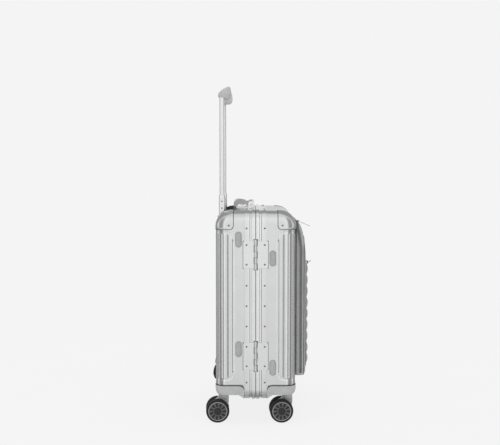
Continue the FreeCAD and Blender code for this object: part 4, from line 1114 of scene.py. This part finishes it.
TUBE_X = high("trolley_middle_tubes").x - CASE_X - 10.75
TUBE_V = middle("trolley_middle_tubes").y - PARTING_Y
TRAY_FLOOR = 511.0
TRAY_WALL = 2.2
TOP_ARC = (HALF_DEPTH - TOP_EDGE, CASE_TOP - TOP_EDGE)


def tray():
    """Black recess for the grip; its rim follows the rounded top edge of the shell."""
    front, under = TRAY_FRONT - 2.8, TRAY_FLOOR - TRAY_WALL
    outer = TRAY_HALF - 0.2
    start = math.degrees(math.asin((under - TOP_ARC[1]) / (TOP_EDGE + 1.2)))
    edge = arc(TOP_ARC, TOP_EDGE + 1.2, start, 90, 12)
    side_outline = [(front, under)] + edge + [(front, CASE_TOP + 1.2)]
    body = prism(side_outline, -outer, outer, across)
    thing = cut(bare_object("grip_tray", body),
                block((-outer + TRAY_WALL, outer - TRAY_WALL), (front + TRAY_WALL, 140), (TRAY_FLOOR, 560)),
                *[block((TUBE_X * s - 11.1, TUBE_X * s + 11.1), (TUBE_V - 8.1, TUBE_V + 8.1), (500, 520))
                  for s in (-1, 1)])
    dress(thing, "base", TRAY_PLASTIC, replaces="trolley_tray", bevel=0.6, crease=40)
    rim = prism(softened([(front - 3, CASE_TOP - 0.5), (front + TRAY_WALL, CASE_TOP - 0.5),
                          (front + TRAY_WALL, CASE_TOP + 3), (front - 3, CASE_TOP + 3)], 1.4, 3),
                -outer, outer, across)
    make("grip_tray_lip", rim, "base", TRAY_PLASTIC, bevel=0.5)
    sill_start = math.degrees(math.asin((under - 9 - TOP_ARC[1]) / (TOP_EDGE + 1.2)))
    sill = arc(TOP_ARC, TOP_EDGE + 1.2, sill_start, start + 1, 8)
    sill += arc(TOP_ARC, TOP_EDGE + 0.15, start + 1, sill_start, 8)
    make("grip_tray_sill", prism(sill, -outer, outer, across), "base", TRAY_PLASTIC, bevel=0.3)
    height = (TRAY_FLOOR - 0.5, TRAY_FLOOR + 0.6)
    bushes = [collar(TUBE_X * s, TUBE_V, (14.6, 11.4, 4.0), (11.15, 8.15, 2.8), height) for s in (-1, 1)]
    make("tube_bushings", join(*bushes), "base", BLACK_PLASTIC, bevel=0.5)


def trolley():
    lips, pins = [], []
    top = high("trolley_middle_tubes").z
    for sign in (-1, 1):
        height = (top - 7.0, top + 0.5)
        lips.append(collar(TUBE_X * sign, TUBE_V, (10.9, 7.85, 3.2), (9.15, 6.15, 2.6), height))
        for z in (top - 14.7, top - 31.7):
            pins.append(lathe([(0.1, 0.0), (1.9, 0.0), (1.9, 0.15), (1.6, 0.28), (0.1, 0.3)],
                              along_x((TUBE_X + 10.75) * sign, TUBE_V, z, sign), 16))
    make("middle_tube_lips", join(*lips), "trolley_middle", BRIGHT_METAL, bevel=0.3)
    make("middle_tube_lock_pins", join(*pins), "trolley_middle", DARK_STEEL_AND_PAINTED_SHADE, crease=40)

    outline = softened([(61.0, 821.0), (62.5, 811.0), (68.5, 805.4), (90.0, 807.3), (94.6, 813.6),
                        (93.0, 820.2), (82.5, 830.6), (69.5, 836.3), (64.4, 836.2)], 7.0, 5)
    half = (high("trolley_grip").x - low("trolley_grip").x) / 2
    thing = cut(bare_object("trolley_handle_grip", bar(outline, half, 5.0)),
                block((-12.5, 12.5), (75.5, 86.5), (814, 845)))
    dress(thing, "trolley_top", GRIP_PLASTIC, replaces="trolley_grip", crease=38)
    seams = [pipe([(x, v, z) for v, z in outline], 0.35, 6, closed=True) for x in (-80.0, 80.0)]
    make("grip_seams", join(*seams), "trolley_top", BLACK_PLASTIC)
    button = softened([(76.0, 818.6), (86.0, 818.6), (86.0, 823.8), (76.0, 831.4)], 1.6, 3)
    make("release_button", prism(button, -12.0, 12.0, across), "trolley_release", BLACK_PLASTIC,
         replaces="trolley_button", bevel=0.7, bevel_steps=3)
    ridges = [pipe([(x, 78.2, 830.3), (x, 84.6, 825.4)], 0.5, 8) for x in (-6, -3, 0, 3, 6)]
    make("button_ridges", join(*ridges), "trolley_release", BLACK_PLASTIC)


# ---------------------------------------------------------------- carry handles and latches

def handle_places():
    """The top handle as it is, and the same handle turned onto the latch side."""
    return (("top", lambda x, v, z: (x, v, z)),
            ("side", lambda x, v, z: (z + HALF_WIDTH - CASE_TOP, v, CASE_MIDDLE - x)))


PIVOT_V, PIVOT_UP = 11.0, 12.0


def carry_handles():
    pivot_z = CASE_TOP + PIVOT_UP
    loop = [(PIVOT_V, pivot_z - 6.0), (28.0, pivot_z - 2.2), (44.0, pivot_z + 0.4), (46.5, pivot_z - 5.5),
            (50.0, pivot_z - 6.4), (53.5, pivot_z - 6.2), (55.5, pivot_z - 3.0), (55.6, pivot_z + 3.5),
            (53.2, pivot_z + 8.8), (49.0, pivot_z + 10.6), (40.0, pivot_z + 10.6), (25.0, pivot_z + 7.4)]
    loop = softened(loop[1:], 3.0, 3) + arc((PIVOT_V, pivot_z), 6.0, 90, 270, 12)
    bracket = softened([(9.2, 1.6), (27.3, 1.6), (27.3, 3.4), (18.9, 4.4), (18.5, 16.0), (15.0, 20.3),
                        (6.0, 20.3), (3.4, 17.0), (3.4, 4.2), (9.2, 4.2)], 1.6, 3)
    half, arm = 65.5, 8.5
    for where, turn in handle_places():
        body = prism(loop, -half, half, across)
        gap = block((-half + arm, half - arm), (-20, 44.6), (pivot_z - 30, pivot_z + 30))
        thing = cut(bare_object(f"{where}_handle_bar", moved(body, turn)), moved(gap, turn))
        dress(thing, f"{where}_handle", GRIP_PLASTIC, replaces=f"{where}_handle_grip", bevel=1.6,
              bevel_steps=3, crease=38)
        inlay = softened([(47.5, pivot_z + 10.3), (47.5, pivot_z + 11.0), (40.5, pivot_z + 11.0),
                          (40.5, pivot_z + 10.3)], 0.3, 2)
        make(f"{where}_handle_inlay", moved(prism(inlay, -48, 48, across), turn),
             f"{where}_handle", PAD_RUBBER, bevel=0.25)
        blocks, caps = [], []
        for sign in (-1, 1):
            ends = sorted((sign * (half + 0.5), sign * (half + 10.5)))
            blocks.append(prism([(v, CASE_TOP + z) for v, z in bracket], *ends, across))
            caps.append(lathe([(0.1, 0.0), (2.9, 0.0), (2.9, 0.3), (2.2, 0.75), (0.1, 0.8)],
                              along_x(sign * (half + 10.5), PIVOT_V, pivot_z, sign), 20))
        make(f"{where}_handle_mounts", moved(join(*blocks), turn), "base", BRIGHT_METAL,
             replaces=f"{where}_handle_brackets", bevel=0.8, bevel_steps=3, crease=38)
        make(f"{where}_handle_pin_heads", moved(join(*caps), turn), "base", BRIGHT_METAL, crease=40)


def latches():
    out, face = HALF_WIDTH + 8.0, HALF_WIDTH + 1.55
    pivot, half = 21.0, 17.0
    bases, strikers, screws = [], [], []
    for label in ("upper", "lower"):
        place = middle(f"{label}_latch_lever").z
        profile = [(out - 3.0, -12.0), (out - 3.0, -22.4), (out - 0.6, -24.0), (out + 0.9, -23.0),
                   (out + 3.0, -12.0)]
        profile = softened(profile, 1.6, 3) + arc((out, pivot), 3.2, 0, 180, 10)
        lever = prism(profile, place - half, place + half, along_z(0, 0, 0))
        thing = cut(bare_object(f"{label}_latch_flap", lever),
                    block((out + 2.3, out + 6), (-6.0, 14.0), (place - 11.0, place + 11.0)))
        dress(thing, f"{label}_latch", BRIGHT_METAL, replaces=f"{label}_latch_lever", bevel=0.9,
              bevel_steps=3, crease=38)
        lock = lathe([(0.2, 0.0), (5.2, 0.0), (5.2, 1.0), (4.7, 1.5), (0.2, 1.5)],
                     along_x(out + 2.2, 5.0, place, 1), 32)
        slot_cut = block((out + 3.2, out + 4.2), (4.4, 5.6), (place - 2.6, place + 2.6))
        thing = cut(bare_object(f"{label}_key_lock", lock), slot_cut)
        dress(thing, f"{label}_latch", STEEL, bevel=0.2, crease=38)
        bases.append(block((face, face + 2.2), (15.2, 27.0), (place - half - 6, place + half + 6)))
        for end in (-1, 1):
            lug = softened([(face + 1, pivot - 4), (out + 3, pivot - 4), (out + 3, pivot + 4),
                            (face + 1, pivot + 4)], 2.4, 4)
            edges = sorted((place + end * (half + 0.5), place + end * (half + 5)))
            bases.append(prism(lug, *edges, along_z(0, 0, 0)))
            spot = along_z(out, pivot, place + end * (half + 5), end)
            screws.append(lathe(rivet_profile(1.6, 0.5), spot, 16))
        hook = softened([(face, -27.0), (face + 2.6, -27.0), (face + 2.6, -15.2), (face, -15.2)], 0.8, 3)
        strikers.append(prism(hook, place - half, place + half, along_z(0, 0, 0)))
    make("latch_mounts", join(*bases), "base", BRIGHT_METAL, replaces="latch_bases", bevel=0.6,
         crease=38)
    make("latch_pin_heads", join(*screws), "base", STEEL, crease=40)
    make("latch_catches", join(*strikers), "lid", BRIGHT_METAL, replaces="latch_strikers",
         bevel=0.5, crease=38)


# ---------------------------------------------------------------- inside

LINING_GROW = -4.6
LINING_MOUTH = 6.0


def fill_holes(thing):
    with editing(thing) as work:
        bmesh.ops.holes_fill(work, edges=[e for e in work.edges if e.is_boundary], sides=0)
        bmesh.ops.recalc_face_normals(work, faces=work.faces)


def linings():
    for name, (side, body) in HALVES.items():
        depth = 70.5 if side > 0 else 92.5
        thing = bare_object(f"{name}_lining_cloth", HalfCase(side, grow=LINING_GROW).mesh(), weld=0.05)
        fill_holes(thing)
        trim(thing, [((0, LINING_MOUTH * side, 0), (0, -side, 0)), ((0, depth * side, 0), (0, side, 0))])
        fill_holes(thing)
        cutters = [block(sorted((96.5 * sign, 260 * sign)), sorted((25.8 * side, 260 * side)), (0, 100.5))
                   for sign in (-1, 1)]
        if side > 0:
            cutters.append(block((-114.5, 114.5), (51.5, 260), (506.5, 600)))
        cut(thing, *cutters)
        mouth = to_row(0, LINING_MOUTH * side, 0).y
        with editing(thing) as work:
            gone = [f for f in work.faces if all(abs(v.co.y - mouth) < 0.0002 for v in f.verts)]
            bmesh.ops.delete(work, geom=gone, context="FACES")
        dress(thing, body, LINING_FABRIC, replaces=f"{name}_lining", thickness=1.1, crease=40)


def straps():
    reach = HALF_WIDTH - 6.0
    pieces, anchors, thread, buckle_parts = [], [], [], []
    section = [(12.2, 0.45), (12.5, 0.0), (12.2, -0.45), (-12.2, -0.45), (-12.5, 0.0), (-12.2, 0.45)]
    for z in (CASE_MIDDLE - 90.0, CASE_MIDDLE + 90.0):
        for sign in (-1, 1):
            rows = []
            for i in range(41):
                x = 16.0 + (reach - 16.0) * i / 40
                sag = 0.5 * math.sin(math.pi * i / 40)
                rows.append([(x * sign, 11.7 + sag + thick, z + along) for along, thick in section])
            pieces.append(solid(rows))
            ends = sorted(((reach - 3) * sign, reach * sign))
            anchors.append(block(ends, (9.8, 13.8), (z - 14.5, z + 14.5)))
            for x in (reach - 8, reach - 26):
                thread += stitches([(x * sign, 11.1, z - 9), (x * sign, 11.1, z + 9)], (0, -1, 0))
        female = softened([(-20, -15.5), (3, -15.5), (3, 15.5), (-20, 15.5)], 3.5, 4)
        male = softened([(4, -13.5), (20, -15.5), (20, 15.5), (4, 13.5)], 3.0, 4)
        prong = softened([(3, -13.5), (6, -13.5), (6, -9.5), (3, -9.5)], 0.8, 2)
        for outline, levels in ((female, (8.2, 13.8)), (male, (8.8, 13.2)), (prong, (9.6, 12.4)),
                                ([(a, -b) for a, b in reversed(prong)], (9.6, 12.4))):
            buckle_parts.append(prism([(a, z + b) for a, b in outline], *levels, lambda a, b, v: (a, v, b)))
        for x in (-15.5, 16.5):
            buckle_parts.append(block((x - 1.2, x + 1.2), (7.9, 8.9), (z - 12.5, z + 12.5)))
    make("packing_webbing", join(*pieces), "base", WEBBING, replaces="packing_straps", crease=60)
    make("strap_anchors", join(*anchors), "base", BLACK_PLASTIC, bevel=0.8)
    make("strap_stitching", join(*thread), "base", THREAD, "lining_fabric", crease=180)
    make("side_release_buckles", join(*buckle_parts), "base", BLACK_PLASTIC,
         replaces="strap_buckles", bevel=0.7, bevel_steps=3, crease=38)


def divider():
    """Zipped fabric panel across the lid, with a bound edge, a zip round it and a stitched pocket."""
    inset_by = 5.5
    half_x, half_z = HALF_WIDTH - inset_by, (CASE_TOP - CASE_BOTTOM) / 2 - inset_by
    centre = (0.0, CASE_MIDDLE)
    rings = []
    for shrink in [0.0, 1.0, 3.0, 8.0, 14.0, 20.0] + [32.0 + 12 * k for k in range(13)]:
        radius = max(26.0 - inset_by - shrink, 6.0)
        ring = []
        for x, z in rounded(half_x - shrink, half_z - shrink, radius, 8, centre):
            wave = 0.35 * noise.noise(Vector((x, z, 3.0)) * 0.018) if shrink > 20 else 0.0
            ring.append((x, -11.2 + wave, z))
        rings.append(ring)
    points, faces = grid(rings, closed=True)
    faces.append(tuple(range(len(points) - len(rings[0]), len(points))))
    panel = make("divider_cloth", (points, faces), "lid", LINING_FABRIC,
                 replaces="divider_panel", thickness=1.0, crease=60)
    edge = [(x, -11.0, z) for x, z in rounded(half_x - 0.6, half_z - 0.6, 20.0, 8, centre)]
    make("divider_binding", pipe(edge, 1.0, 8, closed=True), "lid", PIPING_FABRIC, "lining_fabric")
    back = Vector((0, 1, 0))
    loop = [(Vector((x, -10.2, z)), back) for x, z in rounded(half_x - 13, half_z - 13, 12.0, 8, centre)]
    zip_run("divider_zip", loop + loop[:1], 7.0, 2.6, "lining_fabric")
    line = CASE_MIDDLE + 95.0
    path = [(Vector((x, -10.2, line)), back) for x in range(-130, 131, 10)]
    zip_run("divider_pocket_zip", path, 9.0, 2.6, "lining_fabric")
    for hand, sign in HANDS:
        tab = block(sorted((128 * sign, 136 * sign)), (-10.6, -9.4), (line - 6.5, line + 6.5))
        make(f"divider_pocket_{hand}_end", tab, "lid", PIPING_FABRIC, "lining_fabric", bevel=0.4)
    seam = [(x, -10.3, line - 8.0) for x in range(-136, 137, 8)]
    seam += [(136, -10.3, z) for z in range(int(line) - 16, int(line) - 210, -8)]
    seam += [(x, -10.3, line - 210.0) for x in range(128, -137, -8)]
    seam += [(-136, -10.3, z) for z in range(int(line) - 206, int(line) - 8, 8)]
    make("divider_pocket_stitches", join(*stitches(seam, (0, 1, 0), 4.4, 3.0, 0.35)), "lid", THREAD,
         "lining_fabric", weld=0.0)


TAPE_SECTION = ((-1, 0.0), (-0.97, 0.35), (-0.25, 0.4), (0.25, 0.4), (0.97, 0.35), (1, 0.0))


def zip_run(name, path, width, teeth_width, slot="zip_tape"):
    """Zip along a path of (point, outward normal): a tape and two rows of teeth."""
    rows, middles = [], []
    for i, (point, normal) in enumerate(path):
        ahead = path[min(i + 1, len(path) - 1)][0] - path[max(i - 1, 0)][0]
        sideways = normal.cross(ahead).normalized()
        rows.append([tuple(point + sideways * (width / 2 * s) + normal * lift) for s, lift in TAPE_SECTION])
        middles.append((point, normal, sideways))
    make(f"{name}_tape", grid(rows), "lid", ZIP_TAPE, slot, thickness=0.5, crease=70)
    teeth, gap, travelled = [], 2.3, 0.0
    for (start, normal, sideways), (end, _, _) in zip(middles, middles[1:]):
        run = (end - start).length
        if run < 1e-6:
            continue
        forward = (end - start) / run
        while travelled < run:
            for hand in (-1, 1):
                centre = start + forward * (travelled + hand * gap / 4)
                centre += sideways * (hand * teeth_width * 0.22)
                levels = [[tuple(centre + forward * a + sideways * (b * teeth_width * 0.72) + normal * h)
                           for a, b in ((-0.45, -0.5), (-0.45, 0.5), (0.45, 0.5), (0.45, -0.5))]
                          for h in (0.2, 1.15)]
                teeth.append(solid(levels))
            travelled += gap
        travelled -= run
    make(f"{name}_teeth", join(*teeth), "lid", ZIP_TEETH, slot, weld=0.0, crease=30)


# ---------------------------------------------------------------- soft pocket

BAG_HALF = 160.0
BAG_BOTTOM, BAG_TOP = 113.0, 498.0
BAG_BACK, BAG_FRONT = -99.6, -124.6
BAG_CORNER = 26.0
ZIP_LINE, ZIP_TOP_LINE = -112.0, -103.5
PANEL_HALF = 146.0
PANEL_BOTTOM, PANEL_TOP = 140.0, 400.0
CHANNEL = 28.0


def bag_ring(v, shrink=0.0):
    """(half width, low, high) of the pocket at a depth v."""
    ahead = v - BAG_FRONT
    side_in = inset(9.0, ahead) if ahead < 9 else 0.0
    low_in = inset(10.0, ahead) if ahead < 10 else 0.0
    top_in = 66.0 * max(1 - ahead / (BAG_BACK - BAG_FRONT), 0.0)**3
    seam = sum(math.exp(-((v - at) / 1.3)**2) for at in (-108.6, -115.2))
    swell = 1.1 * math.sin(math.pi * min(max((BAG_BACK - v) / 22.0, 0.0), 1.0)) - 0.6 * seam
    base = 1.0 if v > -101.5 else 0.0
    grow = min(swell, 0.8) - base
    return (BAG_HALF - 0.8 - side_in - shrink + grow, BAG_BOTTOM + 0.8 + low_in + shrink - grow,
            BAG_TOP - 0.8 - top_in - shrink + grow)


def bag_loop(v, shrink=0.0, steps=10):
    half, bottom, top = bag_ring(v, shrink)
    centre = (0.0, (bottom + top) / 2)
    radius = max(BAG_CORNER - shrink, 4.0)
    corners = rounded(half, (top - bottom) / 2, radius, steps, centre)
    dense = []
    for i, (x, z) in enumerate(corners):
        following = corners[(i + 1) % len(corners)]
        pieces = 12 if i % (steps + 1) == steps else 1
        for k in range(pieces):
            dense.append((x + (following[0] - x) * k / pieces, z + (following[1] - z) * k / pieces))
    return dense


def bag_body():
    """Padded body of the pocket: a lofted bag with seams, soft creases and a sagging front."""
    depths = [BAG_BACK, -100.4, -101.6, -103.0, -105.0, -107.2, -108.6, -110.0, -112.0, -114.0, -115.2,
              -116.4, -118.0, -119.6, -121.0, -122.2, -123.2, -123.9, -124.3]
    rings = []
    for v in depths:
        ring = []
        for x, z in bag_loop(v):
            crease = 0.45 * noise.noise(Vector((x * 0.03, v * 0.2, z * 0.045)))
            lean = 1 if abs(x) > abs(z - CASE_MIDDLE) * 0.8 else 0
            ring.append((x + crease * lean * math.copysign(1, x), v, z + crease * (1 - lean)))
        rings.append(ring)
    for k in range(1, 15):
        shrink = 10.5 * k
        ring = []
        for x, z in bag_loop(BAG_FRONT + 0.02, shrink):
            wave = 0.5 * noise.noise(Vector((x * 0.02, 2.0, z * 0.03)))
            ring.append((x, BAG_FRONT + 0.25 - min(shrink, 20) * 0.02 + abs(wave) * 0.5, z))
        rings.append(ring)
    thing = make("soft_pocket", solid(rings), "lid", GREY_FABRIC, replaces="pocket_body", crease=180)
    edge = [(x, BAG_BACK - 0.2, z) for x, z in bag_loop(BAG_BACK)]
    make("pocket_base_piping", pipe(edge, 1.35, 10, closed=True), "lid", PIPING_FABRIC)
    seam = [(x, -119.8, z) for x, z in bag_loop(-119.8)]
    make("pocket_front_piping", pipe(seam, 1.1, 10, closed=True), "lid", PIPING_FABRIC)
    sides = bag_loop(ZIP_LINE)
    path = []
    for i, (x, z) in enumerate(sides):
        if z < BAG_BOTTOM + 8:
            continue
        v = ZIP_LINE + (ZIP_TOP_LINE - ZIP_LINE) * smoothstep((z - 440) / 45)
        x, z = bag_loop(v)[i]
        corner_x, corner_z = max(min(x, BAG_HALF - BAG_CORNER), -BAG_HALF + BAG_CORNER), min(z, BAG_TOP - 40)
        outward = Vector((x - corner_x, -0.25 if z > 470 else 0.0, z - corner_z)).normalized()
        path.append((Vector((x, v, z)) + outward * 0.3, outward))
    path.sort(key=lambda spot: way_round(spot[0].x, spot[0].z))
    zip_run("main_zip", path, 7.4, 2.8)


def way_round(x, z):
    """Order of points up the left side, over the top and down the right side."""
    return -math.atan2(z - 250.0, x) if not (x < 0 and z < 250.0) else -math.atan2(z - 250.0, x) - 2 * math.pi


def panel_height(x, z):
    """How far the quilted front stands out of the pocket at a point."""
    edge = smoothstep((PANEL_HALF - abs(x)) / 7.0)
    foot, head = smoothstep((z - PANEL_BOTTOM) / 12.0), smoothstep((PANEL_TOP - z) / 5.0)
    channel = abs(math.sin(math.pi * (PANEL_TOP - 4.0 - z) / CHANNEL))
    pillow = channel**0.62
    puff = 1.3 + 4.0 * pillow
    pucker = 0.5 * (1 - pillow) * noise.noise(Vector((x * 0.16, z * 0.08, 1.0)))
    soft = 0.5 * noise.noise(Vector((x * 0.02, z * 0.02, 5.0)))
    return (puff + pucker + soft * pillow) * edge * foot * head + 0.35


def quilt():
    """Quilted front pocket, its piping, stitching and zip."""
    columns = [-PANEL_HALF + 2 * PANEL_HALF * i / 96 for i in range(97)]
    levels = [PANEL_BOTTOM + (PANEL_TOP - PANEL_BOTTOM) * i / 150 for i in range(151)]
    points, faces = grid([[(x, BAG_FRONT - panel_height(x, z), z) for x in columns] for z in levels])
    count = len(columns)
    rim = list(range(count)) + [count * i + count - 1 for i in range(1, len(levels))]
    rim += [count * (len(levels) - 1) + i for i in range(count - 2, -1, -1)]
    rim += [count * i for i in range(len(levels) - 2, 0, -1)]
    base = len(points)
    points += [(points[i][0], BAG_FRONT + 0.6, points[i][2]) for i in rim]
    for k in range(len(rim)):
        after = (k + 1) % len(rim)
        faces.append((rim[k], base + k, base + after, rim[after]))
    faces.append(tuple(range(base, base + len(rim))))
    thing = make("quilted_front", (points, faces), "lid", QUILT_FABRIC, replaces="pocket_front_panel",
                 crease=180)
    thread = []
    z = PANEL_TOP - 4.0 - CHANNEL
    while z > PANEL_BOTTOM + 8:
        line = [(x, BAG_FRONT - panel_height(x, z) + 0.05, z) for x in columns[3:-3]]
        thread += stitches(line, (0, -1, 0))
        z -= CHANNEL
    make("quilt_stitching", join(*thread), "lid", THREAD, "grey_fabric", weld=0.0, crease=180)
    half, centre = (PANEL_TOP - PANEL_BOTTOM) / 2, (0.0, (PANEL_TOP + PANEL_BOTTOM) / 2)
    outline = [(x, BAG_FRONT - 0.5, z) for x, z in rounded(PANEL_HALF + 0.6, half + 0.6, 7.0, 8, centre)]
    make("quilt_piping", pipe(outline, 1.0, 10, closed=True), "lid", PIPING_FABRIC)
    zip_z = PANEL_TOP + 1.7
    line = [(Vector((x, BAG_FRONT - 0.9, zip_z)), Vector((0, -1, 0))) for x in range(-140, 141, 10)]
    zip_run("front_zip", line, 6.0, 2.6)


def sliders():
    """Slider bodies and the pulls that swing on them."""
    main_x, front_x = middle("main_zip_pull").x - CASE_X, middle("front_zip_pull").x - CASE_X
    shape = softened([(-4.0, -3.6), (4.0, -2.6), (4.0, 2.6), (-4.0, 3.6)], 1.6, 4)
    top_z = BAG_TOP + 0.9
    body = prism(shape, top_z, top_z + 2.4, lambda a, b, h: (main_x + a, -105.4 + b, h))
    bridge = pipe([(main_x - 2.6, -105.4, top_z + 2.0), (main_x - 1.6, -106.6, top_z + 3.6),
                   (main_x + 1.6, -106.6, top_z + 3.6), (main_x + 2.6, -105.4, top_z + 2.0)], 0.8, 8)
    front_v = -131.4
    second = prism(shape, 391.2, 398.8, lambda a, b, h: (front_x + a, front_v + b * 0.45, h))
    make("zip_sliders", join(body, bridge, second), "lid", DARK_STEEL_AND_PAINTED_SHADE, replaces="pocket_zips", bevel=0.4)
    for name, length, droop in (("main", 30.0, math.radians(24.0)), ("front", 7.5, math.radians(-30.0))):
        joint = joint_place(f"{name}_pull_hinge")
        outline = softened([(-2.2, 1.0), (2.2, 1.0), (3.0, -4.0), (3.0, -length), (-3.0, -length),
                            (-3.0, -4.0)], 1.4, 4)
        plate = prism(outline, -0.85, 0.85, lambda a, b, h: (a, b, h))
        eye = pipe([(-3.0, 0, 0), (3.0, 0, 0)], 0.95, 12)
        pieces = [plate, eye]
        if name == "main":
            for b in (-10, -12.5, -15, -17.5, -20, -22.5, -25):
                pieces.append(pipe([(-2.3, b, 0.8), (2.3, b, 0.8)], 0.4, 6))

        def turned(a, b, h):
            return (joint.x + a, joint.y + b * math.cos(droop) - h * math.sin(droop),
                    joint.z + b * math.sin(droop) + h * math.cos(droop))
        make(f"{name}_pull_tab", moved(join(*pieces), turned), f"{name}_pull", STEEL,
             replaces=f"{name}_zip_pull", bevel=0.35, crease=38)


def rivet_centres():
    """Dark discs on the frame rivets, painted shade of each rivet's hollow middle."""
    for name, (side, body) in HALVES.items():
        make(f"{name}_rivet_centres", rivet_row(side, RIVET_CENTRE, 14, False), body, DARK_STEEL_AND_PAINTED_SHADE, crease=40)


# ---------------------------------------------------------------- scene

BACKDROP = 0.905
FLOOR_GLOW = 0.83
FLOOR_RADIUS = 2.2


def studio():
    """Pale floor, soft light and the camera, level with the case's upper half."""
    steps = 96
    turn = [2 * math.pi * i / steps for i in range(steps)]
    mesh = bpy.data.meshes.new("floor")
    mesh.from_pydata([(FLOOR_RADIUS * math.cos(t), FLOOR_RADIUS * math.sin(t), 0) for t in turn], [],
                     [tuple(range(steps))])
    floor = bpy.data.objects.new("floor", mesh)
    bpy.context.scene.collection.objects.link(floor)
    material, tree, shader = node_material("studio_floor")
    feed(tree, shader, {"Base Color": ramp(tree, grain(tree, 3), (0.09,) * 3, (0.095,) * 3), "Roughness": 1.0,
                        "Specular IOR Level": 0.0, "Emission Color": (1.0, 1.0, 1.0, 1),
                        "Emission Strength": FLOOR_GLOW})
    mesh.materials.append(material)
    floor.visible_glossy = False

    world = bpy.data.worlds.new("studio")
    bpy.context.scene.world = world
    world.use_nodes = True
    tree = world.node_tree
    tree.nodes.clear()
    split = add(tree, "SeparateXYZ", {"Vector": add(tree, "TexCoord").outputs["Generated"]})

    def calculate(operation, *values):
        node = add(tree, "Math", dict(enumerate(values)))
        node.operation = operation
        return node.outputs[0]

    def cards(factor, levels):
        return stops(tree, factor, [(position, (level,) * 3) for position, level in levels])
    x, y, z = (split.outputs[axis] for axis in "XYZ")
    plan = calculate("SQRT", calculate("ADD", calculate("MULTIPLY", x, x), calculate("MULTIPLY", y, y)))
    sideways = calculate("DIVIDE", calculate("ABSOLUTE", y), calculate("MAXIMUM", plan, 0.001))
    around_case = cards(sideways, ((0.0, 0.9), (0.12, 0.9), (0.2, 1.25), (0.38, 1.15), (0.48, 0.38),
                                   (0.93, 0.33), (0.97, 0.5), (0.992, 0.95), (1.0, 0.95)))
    height = calculate("ADD", calculate("MULTIPLY", z, 0.5), 0.5)
    by_height = cards(height, ((0.0, 0.5), (0.1, 0.5), (0.34, 0.8), (0.389, 0.858), (0.426, 0.937),
                               (0.467, 1.0), (0.5, 1.04), (1.0, 1.04)))
    backwards = calculate("ADD", calculate("MULTIPLY", x, 0.5), 0.5)
    behind = calculate("MULTIPLY", cards(z, ((0.13, 0.0), (0.24, 1.0))),
                       cards(backwards, ((0.48, 0.0), (0.54, 1.0))))
    zenith = cards(backwards, ((0.44, 0.82), (0.56, 0.36)))

    sky = mixed(tree, around_case, by_height)
    sky = mixed(tree, sky, (0.36, 0.36, 0.36, 1), "MIX", behind)
    sky = mixed(tree, sky, zenith, "MIX", cards(z, ((0.6, 0.0), (0.85, 1.0))))
    soft = cards(height, ((0.0, 0.55), (0.5, 0.62), (1.0, 0.8)))
    plain = (BACKDROP, BACKDROP, BACKDROP, 1)
    glossy, diffuse, seen = (add(tree, "Background", {"Color": colour, "Strength": 1.0}).outputs[0]
                             for colour in (sky, soft, plain))
    ray = add(tree, "LightPath").outputs
    lit = add(tree, "MixShader", {0: ray["Is Diffuse Ray"], 1: glossy, 2: diffuse}).outputs[0]
    shown = add(tree, "MixShader", {0: ray["Is Camera Ray"], 1: lit, 2: seen}).outputs[0]
    add(tree, "OutputWorld", {"Surface": shown})

    for name, place, size, power in (("overhead_softbox", (-0.6, 0.0, 2.6), 1.8, 9.0),
                                     ("key_softbox", (-2.2, 1.2, 1.6), 1.0, 7.0)):
        data = bpy.data.lights.new(name, "AREA")
        data.energy = power
        data.shape = "SQUARE"
        data.size = size
        lamp = bpy.data.objects.new(name, data)
        bpy.context.scene.collection.objects.link(lamp)
        lamp.location = place
        lamp.rotation_euler = (Vector((0, 0, 0.35)) - lamp.location).to_track_quat("-Z", "Y").to_euler()
        lamp.visible_glossy = False

    data = bpy.data.cameras.new("camera")
    data.lens = 65.34
    data.sensor_width = 36.0
    camera = bpy.data.objects.new("camera", data)
    bpy.context.scene.collection.objects.link(camera)
    camera.location = to_row(-2390.0, 13.8, 627.6)
    tilt = math.radians(3.31)
    direction = Vector((math.cos(tilt), 0.0, -math.sin(tilt)))
    camera.rotation_euler = direction.to_track_quat("-Z", "Y").to_euler()
    bpy.context.scene.camera = camera
    bpy.context.scene.view_settings.view_transform = "Standard"


finish_cad_nodes()
shells()
corner_caps()
housings()
frames()
rivets()
hinges()
side_pads()
runners()
painted_shadow_lines()
rivet_centres()
casters()
tray()
trolley()
carry_handles()
latches()
linings()
straps()
divider()
bag_body()
quilt()
sliders()
studio()
